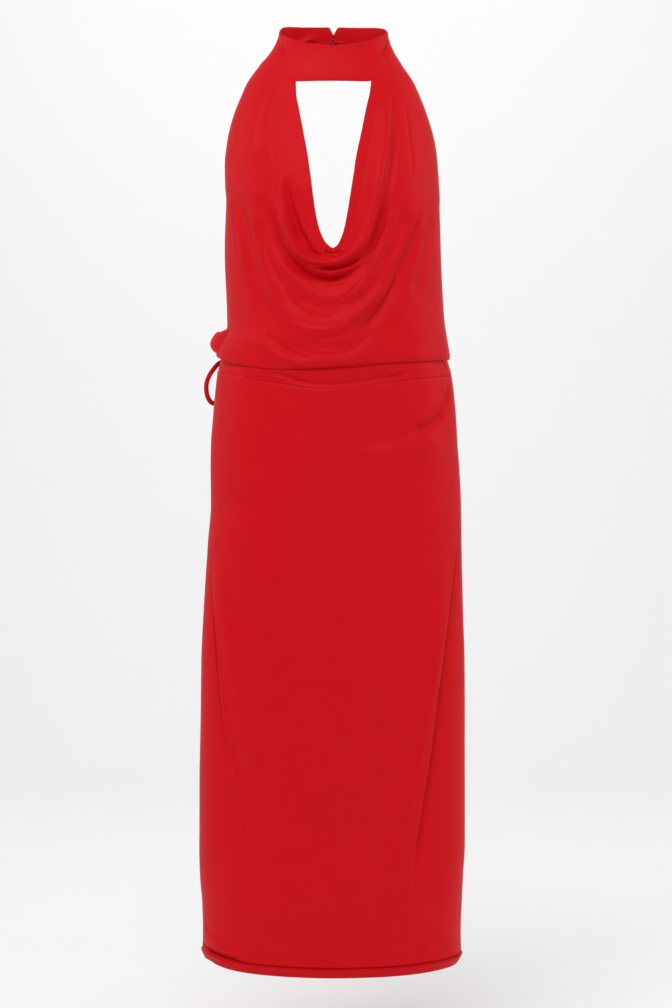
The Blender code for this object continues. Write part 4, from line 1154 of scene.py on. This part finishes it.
def make_collar(material):
    """A doubled band: up its outer side, over the rolled top and down inside, as one skin.

    Its columns lie closer together at the two ends, which meet at the centre back.
    """
    share = np.linspace(-1, 1, COLLAR_AROUND + 1)
    share = share * (1 - COLLAR_BUNCHING * (1 - share**2))
    height = np.linspace(0, 1, COLLAR_ROWS + 1)[:, None]
    opening = SLIT_HALF + (NOTCH_TOP - SLIT_HALF) * np.clip(
        (height - NOTCH_START) / (1 - NOTCH_START), 0, 1)
    azimuth = share[None, :] * (math.pi - opening / NECK_HALF_WIDTH)
    outer = collar_point(azimuth, height + 0 * azimuth)
    up = unit(np.gradient(outer, axis=0))
    around = np.gradient(outer, axis=1)
    normal = unit(np.cross(around, up))
    outer = outer + normal * collar_crease(azimuth, height + 0 * azimuth)[..., None]
    middle = outer - normal * COLLAR_WALL / 2
    reached = length_reached(outer[COLLAR_ROWS // 2])
    from_end = np.minimum(reached, reached[-1] - reached)
    end = np.sqrt(np.clip(1 - (1 - np.clip(from_end / COLLAR_END, 0, 1))**2, 0, 1))
    half = (COLLAR_WALL / 2 * end)[None, :, None]
    over = np.linspace(0, math.pi, COLLAR_ROLL_ROWS + 2)[1:-1][:, None, None]
    top = middle[-1:] + half * (up[-1:] * np.sin(over) + normal[-1:] * np.cos(over))
    under = middle[:1] - half * (up[:1] * np.sin(over) + normal[:1] * np.cos(over))
    front = middle + normal * half
    back = (middle - normal * half)[::-1]
    points = np.concatenate([front, top, back, under, front[:1]])
    rows = np.arange(points.shape[0])[:, None] * COLLAR_ROW_FLAT
    flat = np.stack([azimuth[:1] * NECK_HALF_WIDTH + 0 * rows, rows + 0 * azimuth[:1]], axis=-1)
    mesh = grid_mesh("collar_band", [(points[::-1], flat[::-1])])
    return add_object("collar_band", mesh, material, ["collar"])


def make_bodice(material):
    azimuth, drop = bodice_patch(BODICE_SIDE, BODICE_WAIST, BODICE_ACROSS)
    flat = np.stack([azimuth * FLAT_RADIUS, drop], axis=-1)
    first = BODICE_SIDE
    last = BODICE_SIDE + BODICE_WAIST
    patch = Cloth(bodice_surface(azimuth, drop), flat)
    waist = patch.points[-1, first:last + 1].copy()
    patch.turn_rows(False, NECK_EDGE_RADIUS, FACING)
    strips = []
    for part in (slice(0, first + 1), slice(last, None)):
        # three rows give the edge its directions, and the first two are the patch's own
        strip = Cloth(patch.points[-3:, part], patch.flat[-3:, part])
        strip.turn_rows(True, EDGE_RADIUS, EDGE_HEM)
        for name in ("points", "flat", "normal", "down", "around"):
            setattr(strip, name, getattr(strip, name)[2:])
        strips.append(strip)
    roll_length = math.pi * ROLL_RISE + BAND_TUCK - ROLL_RISE - SEAM_GAP
    waist_turn = azimuth[-1, first:last + 1][None, :]
    steps = np.linspace(0, 1, ROLL_STEPS + 1)[:, None]
    roll_drop = roll_start(waist_turn) + roll_length * steps
    roll_turn = waist_turn + 0 * roll_drop
    rolled = bodice_surface(roll_turn, roll_drop)
    rolled[0] = waist
    roll = Cloth(rolled, np.stack([roll_turn * FLAT_RADIUS, roll_drop], axis=-1))
    roll.turn_columns(False, EDGE_RADIUS, EDGE_HEM)
    roll.turn_columns(True, EDGE_RADIUS, EDGE_HEM)
    return add_cloth("bodice_cloth", [patch, *strips, roll], material, ["bodice_front"])


def panel(point_at, turn, drop, edges):
    """A cloth panel over a grid of azimuths and drops, with its sides and these edges turned in.

    An edge is (is it the lower one, reach, length of cloth that is turned in).
    """
    cloth = Cloth(point_at(turn, drop), np.stack([turn * FLAT_RADIUS, drop], axis=-1))
    cloth.turn_columns(False, EDGE_RADIUS, SEAM_ALLOWANCE, SEAM_REACH)
    cloth.turn_columns(True, EDGE_RADIUS, SEAM_ALLOWANCE, SEAM_REACH)
    for last, reach, leg in edges:
        cloth.turn_rows(last, EDGE_RADIUS, leg, reach)
    return cloth


def make_band(name, node, left, right, material):
    inset = SEAM_INSET / FLAT_RADIUS
    turn = np.linspace(left + inset, right - inset, BAND_AROUND + 1)[None, :]
    top = by_azimuth(wrapped(turn), BLOUSON_EDGE) - BAND_TUCK
    bottom = by_azimuth(wrapped(turn), BAND_EDGE) - SEAM_INSET
    drop = top + (bottom - top) * np.linspace(0, 1, BAND_ROWS + 1)[:, None]
    cloth = panel(band_point, turn + 0 * drop, drop, [(True, SEAM_REACH, SEAM_ALLOWANCE)])
    return add_cloth(name, [cloth], material, [node])


def lane(points, drop, left, right):
    """Azimuths of a line, row by row, kept clear of the panel's two sides."""
    line = curve_through(points, LINE_STEPS)
    turn = azimuth_of_x(line[:, 0], line[:, 1], SKIRT_FORM)
    return np.clip(np.interp(drop, line[:, 1], turn), left + LANE_CLEAR, right - LANE_CLEAR)


def skirt_columns(left, right, around, drop):
    """Azimuths of the front's grid, whose columns crowd along its two turns."""
    share = np.linspace(0, 1, around + 1)[None, :]
    first, second = LANES
    left_lane = lane(SKIRT_TURNS[0][2], drop, left, right)
    right_lane = lane(SKIRT_TURNS[1][2], drop, left, right)
    outer = np.clip(share / first, 0, 1)
    middle = np.clip((share - first) / (second - first), 0, 1)
    middle = middle - LANE_PULL * np.sin(2 * math.pi * middle)
    far = np.clip((share - second) / (1 - second), 0, 1)
    return (left + (left_lane - left) * (1 - (1 - outer)**LANE_CROWDING)
            + (right_lane - left_lane) * middle + (right - right_lane) * far**LANE_CROWDING)


def make_skirt(name, node, left, right, around, material):
    inset = SEAM_INSET / FLAT_RADIUS
    left += inset
    right -= inset
    turn = np.linspace(left, right, around + 1)[None, :]
    rows = np.linspace(0, 1, SKIRT_ROWS + 1)[:, None]
    lower_rows = np.linspace(0, 1, HEM_ROWS + 1)[1:, None]
    top_at_seam = by_azimuth(wrapped(turn), BAND_EDGE)
    middle = top_at_seam + rows * (HEM_EDGE[:, 1].mean() - top_at_seam)
    if node == "skirt_front":
        turn = skirt_columns(left, right, around, middle)
        below = turn[-1:] + 0 * lower_rows
        turn = np.vstack([turn, below])
    else:
        turn = turn + np.zeros((SKIRT_ROWS + 1 + HEM_ROWS, 1))
    top = by_azimuth(wrapped(turn), BAND_EDGE) + SEAM_INSET
    hem = by_azimuth(wrapped(turn), HEM_EDGE) - EDGE_RADIUS
    near_hem = hem - HEM_ZONE
    drop = np.vstack([(top + (near_hem - top) * np.vstack([rows, 1 + 0 * lower_rows]))[:-HEM_ROWS],
                      near_hem[-HEM_ROWS:] + HEM_ZONE * lower_rows])
    cloth = panel(skirt_surface, turn, drop,
                  [(False, SEAM_REACH, SEAM_ALLOWANCE), (True, EDGE_RADIUS, HEM_DEPTH)])
    return add_cloth(name, [cloth], material, [node])


def make_stitching(material):
    """Two rows along the hem and one beside each free edge of the bodice."""
    lines = []
    turn = np.linspace(-math.pi, math.pi, HEM_SAMPLES)
    for height in HEM_STITCHES:
        drop = by_azimuth(turn, HEM_EDGE) - height
        lines.append((skirt_surface(turn, drop), outward(skirt_base, turn, drop)))
    add_stitches("hem_stitches", lines, material)
    lines = []
    for side in (-1, 1):
        flat = offset_line(free_edge_line(side), -side * (EDGE_HEM - EDGE_STITCHES))
        turn = flat[:, 0] / FLAT_RADIUS
        lines.append((bodice_surface(turn, flat[:, 1]), outward(bodice_base, turn, flat[:, 1])))
    add_stitches("edge_stitches", lines, material)


def tie_line(points, starts_there, ends_there, knot_centre):
    def at_knot(place):
        away = place - knot_centre
        return knot_centre + unit(away) * (KNOT_WIDTH / 2 + SEAM_GAP)

    places = beside_skirt(*np.array(points, float).T)
    if starts_there:
        places = np.vstack([at_knot(places[0]), places])
    if ends_there:
        places = np.vstack([places, at_knot(places[-1])])
    return curve_through(places, CORD_STEPS)


def make_knot(centre, material):
    """The bow's knot: one turn of the cord drawn over the crossing strands."""
    inward = unit(-outward(skirt_base, np.radians(float(KNOT_PLACE[0])), float(KNOT_PLACE[1])))
    up = np.array([0.0, 0.0, 1.0])
    side = unit(np.cross(up, inward))
    up = np.cross(inward, side)
    radius = TIE_DIAMETER / 2
    turn = np.linspace(0, 2 * math.pi, 33)
    tubes = []
    for shift, reach, depth in KNOT_TURNS:
        ring = (np.cos(turn)[:, None] * reach * up - np.sin(turn)[:, None] * depth * inward
                + (shift + KNOT_TILT * np.cos(turn) * reach)[:, None] * side)
        tubes.append(tube_points(centre + ring, radius * 0.98, KNOT_SIDES))
    reach = np.linspace(-KNOT_CORE, KNOT_CORE, 13)[:, None]
    core = centre + reach * side + KNOT_BEND * reach**2 * inward
    tubes.append(tube_points(core, radius * 1.02, KNOT_SIDES))
    mesh = grid_mesh("knot_wrap", [(tube, tube[..., :2]) for tube in tubes])
    item = add_object("knot_wrap", mesh, material, ["tie_knot"])
    skin = item.modifiers.new("skin", "REMESH")
    skin.mode = "VOXEL"
    skin.voxel_size = 0.35 * MM
    skin.use_smooth_shade = True
    soft = item.modifiers.new("soft", "SMOOTH")
    soft.factor = 0.6
    soft.iterations = 5
    return item


def make_tie(material):
    centre = beside_skirt(*np.array(KNOT_PLACE, float))
    knot = make_knot(centre, material)
    for name, starts_there, ends_there, points in TIE_LINES:
        line = tie_line(points, starts_there, ends_there, centre)
        free = starts_there and not ends_there
        cord = add_tube(name + "_cord", line, TIE_DIAMETER, material, [name],
                        rounded=free)
        if name == "tie_band":
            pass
        elif free:
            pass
        else:
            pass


def make_closure(material):
    turn = np.linspace(0, 2 * math.pi, 49)[:-1]
    eye = inside_collar(EYE_HALF_WIDTH * np.cos(turn),
                        EYE_HEIGHT + EYE_HALF_HEIGHT / COLLAR_HEIGHT * np.sin(turn),
                        np.full_like(turn, EYE_CLEARANCE))
    add_tube("eye_wire", eye, WIRE_DIAMETER, material, ["neck_eye"], closed=True)
    hook = inside_collar(*curve_through(HOOK_LINE, CORD_STEPS).T)
    add_tube("hook_wire", hook, WIRE_DIAMETER, material, ["neck_hook"])


# ---------------------------------------------------------------- materials

# light and dark of the cloth's mottle
JERSEY_REDS = ((0.60, 0.0035, 0.0085), (0.57, 0.003, 0.0075))
CORD_REDS = ((0.58, 0.0035, 0.0085), (0.55, 0.003, 0.0075))
THREAD_RED = (0.6, 0.006, 0.016)
WIRE_RED = (0.52, 0.01, 0.02)
STAGE_GREY = (0.92, 0.92, 0.92)
YARN_RELIEF = 0.00005    # metres
STAGE_RELIEF = 0.0005


def new_material(name, **sockets):
    material = bpy.data.materials.new(name)
    material.use_nodes = True
    tree = material.node_tree
    shader = tree.nodes["Principled BSDF"]
    set_sockets(shader, sockets)
    return material, tree, shader


def set_sockets(node, sockets):
    for name, value in sockets.items():
        node.inputs[name.replace("_", " ")].default_value = value


def add_node(tree, kind, settings=None, **sockets):
    """A node with its settings, and its input sockets by name with spaces as underscores."""
    node = tree.nodes.new(kind)
    for name, value in (settings or {}).items():
        setattr(node, name, value)
    set_sockets(node, sockets)
    return node


def add_bump(tree, shader, height, strength, distance):
    bump = add_node(tree, "ShaderNodeBump", Strength=strength, Distance=distance)
    tree.links.new(height, bump.inputs["Height"])
    tree.links.new(bump.outputs["Normal"], shader.inputs["Normal"])


def jersey_material(name, colour, dark, use_uv):
    """Slinky jersey: fine wales down the cloth, a loose broad mottle and a soft satin sheen."""
    material, tree, shader = new_material(name, Specular_IOR_Level=0.08, Sheen_Weight=0.05,
                                          Sheen_Roughness=0.35, Sheen_Tint=(1.0, 0.45, 0.4, 1))
    link = tree.links.new
    coordinates = add_node(tree, "ShaderNodeTexCoord")
    place = coordinates.outputs["UV" if use_uv else "Object"]
    scaled = add_node(tree, "ShaderNodeVectorMath", {"operation": "SCALE"}, Scale=1 / MM)
    link(place, scaled.inputs[0])
    mottle = add_node(tree, "ShaderNodeTexNoise", Scale=0.035, Detail=3.0, Roughness=0.55)
    link(scaled.outputs[0], mottle.inputs["Vector"])
    yarn = add_node(tree, "ShaderNodeTexNoise", Scale=1.9, Detail=4.0, Roughness=0.65)
    link(scaled.outputs[0], yarn.inputs["Vector"])
    tone = add_node(tree, "ShaderNodeMix", {"data_type": "RGBA"})
    tone.inputs["A"].default_value = (*dark, 1)
    tone.inputs["B"].default_value = (*colour, 1)
    spread = add_node(tree, "ShaderNodeMapRange", From_Min=0.3, From_Max=0.7)
    link(mottle.outputs["Fac"], spread.inputs["Value"])
    link(spread.outputs["Result"], tone.inputs["Factor"])
    link(tone.outputs["Result"], shader.inputs["Base Color"])
    wales = add_node(tree, "ShaderNodeTexWave", {"bands_direction": "X", "wave_profile": "SIN"},
                     Scale=0.35, Distortion=0.6, Detail=2.0, Detail_Scale=0.5)
    link(scaled.outputs[0], wales.inputs["Vector"])
    height = add_node(tree, "ShaderNodeMath", {"operation": "ADD"})
    link(wales.outputs["Fac"], height.inputs[0])
    link(yarn.outputs["Fac"], height.inputs[1])
    add_bump(tree, shader, height.outputs[0], 0.22, YARN_RELIEF)
    gloss = add_node(tree, "ShaderNodeMapRange", To_Min=0.5, To_Max=0.58)
    link(yarn.outputs["Fac"], gloss.inputs["Value"])
    link(gloss.outputs["Result"], shader.inputs["Roughness"])
    return material


def grained_material(name, colour, roughness, sheen, grain, strength, relief):
    """One colour with a fine bump: grain is the noise's scale and detail."""
    material, tree, shader = new_material(name, Base_Color=(*colour, 1), Roughness=roughness,
                                          Sheen_Weight=sheen)
    coordinates = add_node(tree, "ShaderNodeTexCoord")
    noise = add_node(tree, "ShaderNodeTexNoise", Scale=grain[0], Detail=grain[1])
    tree.links.new(coordinates.outputs["Object"], noise.inputs["Vector"])
    add_bump(tree, shader, noise.outputs["Fac"], strength, relief)
    return material


def thread_material(name, colour, roughness):
    return grained_material(name, colour, roughness, 0.1, (4000.0, 2.0), 0.4, YARN_RELIEF)


def stage_material():
    return grained_material("stage", STAGE_GREY, 0.85, 0.0, (60.0, 3.0), 0.05, STAGE_RELIEF)


# ---------------------------------------------------------------- stage, lights and camera

# in metres
FLOOR_Z = -1.42
STAGE_FRONT = -6.0
STAGE_HALF_WIDTH = 9.0
BACKDROP_START = 3.2
BACKDROP_RADIUS = 1.5
BACKDROP_TOP = 6.0

AMBIENT = 0.36
# name, place, target, width and height in metres, power in watts
LIGHTS = (
    ("key", (-0.7, -2.9, 2.4), (0, 0, -0.4), (2.4, 1.6), 95),
    ("fill", (1.9, -3.2, 0.2), (0, 0, -0.7), (1.6, 2.4), 11),
    ("left_side", (-3.0, 0.3, 0.8), (0, 0, -0.3), (1.2, 2.6), 25),
    ("right_side", (3.0, 0.3, 0.8), (0, 0, -0.3), (1.2, 2.6), 32),
    ("backdrop", (0, 1.6, 2.6), (0, 4.6, 0.3), (4.0, 1.0), 60),
)


def make_stage():
    """A pale floor that curves up into the backdrop."""
    profile = [(STAGE_FRONT, FLOOR_Z), (BACKDROP_START, FLOOR_Z)]
    for step in np.linspace(0, math.pi / 2, 17)[1:]:
        profile.append((BACKDROP_START + BACKDROP_RADIUS * math.sin(step),
                        FLOOR_Z + BACKDROP_RADIUS * (1 - math.cos(step))))
    profile.append((BACKDROP_START + BACKDROP_RADIUS, BACKDROP_TOP))
    points = []
    for y, z in profile:
        points.extend([(-STAGE_HALF_WIDTH, y, z), (STAGE_HALF_WIDTH, y, z)])
    faces = [(2 * k, 2 * k + 1, 2 * k + 3, 2 * k + 2) for k in range(len(profile) - 1)]
    mesh = bpy.data.meshes.new("floor")
    mesh.from_pydata(points, [], faces)
    mesh.shade_smooth()
    floor = bpy.data.objects.new("floor", mesh)
    mesh.materials.append(stage_material())
    bpy.context.scene.collection.objects.link(floor)


def add_light(name, place, target, size, power):
    data = bpy.data.lights.new(name, "AREA")
    data.shape = "RECTANGLE"
    data.size, data.size_y = size
    data.energy = power
    light = bpy.data.objects.new(name, data)
    light.location = place
    aim = Vector(target) - Vector(place)
    light.rotation_euler = aim.to_track_quat("-Z", "Y").to_euler()
    bpy.context.scene.collection.objects.link(light)


def make_lights():
    world = bpy.data.worlds.new("studio")
    bpy.context.scene.world = world
    world.use_nodes = True
    background = world.node_tree.nodes["Background"]
    background.inputs["Color"].default_value = (1, 1, 1, 1)
    background.inputs["Strength"].default_value = AMBIENT
    for light in LIGHTS:
        add_light(*light)


def make_camera():
    camera = bpy.data.cameras.new("camera")
    camera.lens = CAMERA_LENS
    camera.sensor_width = CAMERA_SENSOR
    camera.sensor_fit = "AUTO"
    item = bpy.data.objects.new("camera", camera)
    item.location = CAMERA_PLACE
    item.rotation_euler = (math.pi / 2, 0, 0)
    bpy.context.scene.collection.objects.link(item)
    bpy.context.scene.camera = item


# ---------------------------------------------------------------- the whole


def main():
    make_camera()
    make_lights()
    make_stage()
    bpy.context.scene.view_settings.view_transform = "Standard"
    jersey = jersey_material("jersey", *JERSEY_REDS, use_uv=True)
    cord = jersey_material("rouleau", *CORD_REDS, use_uv=False)
    thread = thread_material("thread", THREAD_RED, 0.5)
    wire = thread_material("covered_wire", WIRE_RED, 0.35)
    collar = make_collar(jersey)
    bodice = make_bodice(jersey)
    band_front = make_band("waistband_front_cloth", "waistband_front", SEAM_LEFT, SEAM_RIGHT,
                           jersey)
    band_back = make_band("waistband_back_cloth", "waistband_back", SEAM_RIGHT,
                          SEAM_LEFT + 2 * math.pi, jersey)
    skirt_front = make_skirt("skirt_front_cloth", "skirt_front", SEAM_LEFT, SEAM_RIGHT,
                             SKIRT_FRONT_AROUND, jersey)
    skirt_back = make_skirt("skirt_back_cloth", "skirt_back", SEAM_RIGHT,
                            SEAM_LEFT + 2 * math.pi, SKIRT_BACK_AROUND, jersey)
    make_tie(cord)
    make_closure(wire)
    make_stitching(thread)


main()
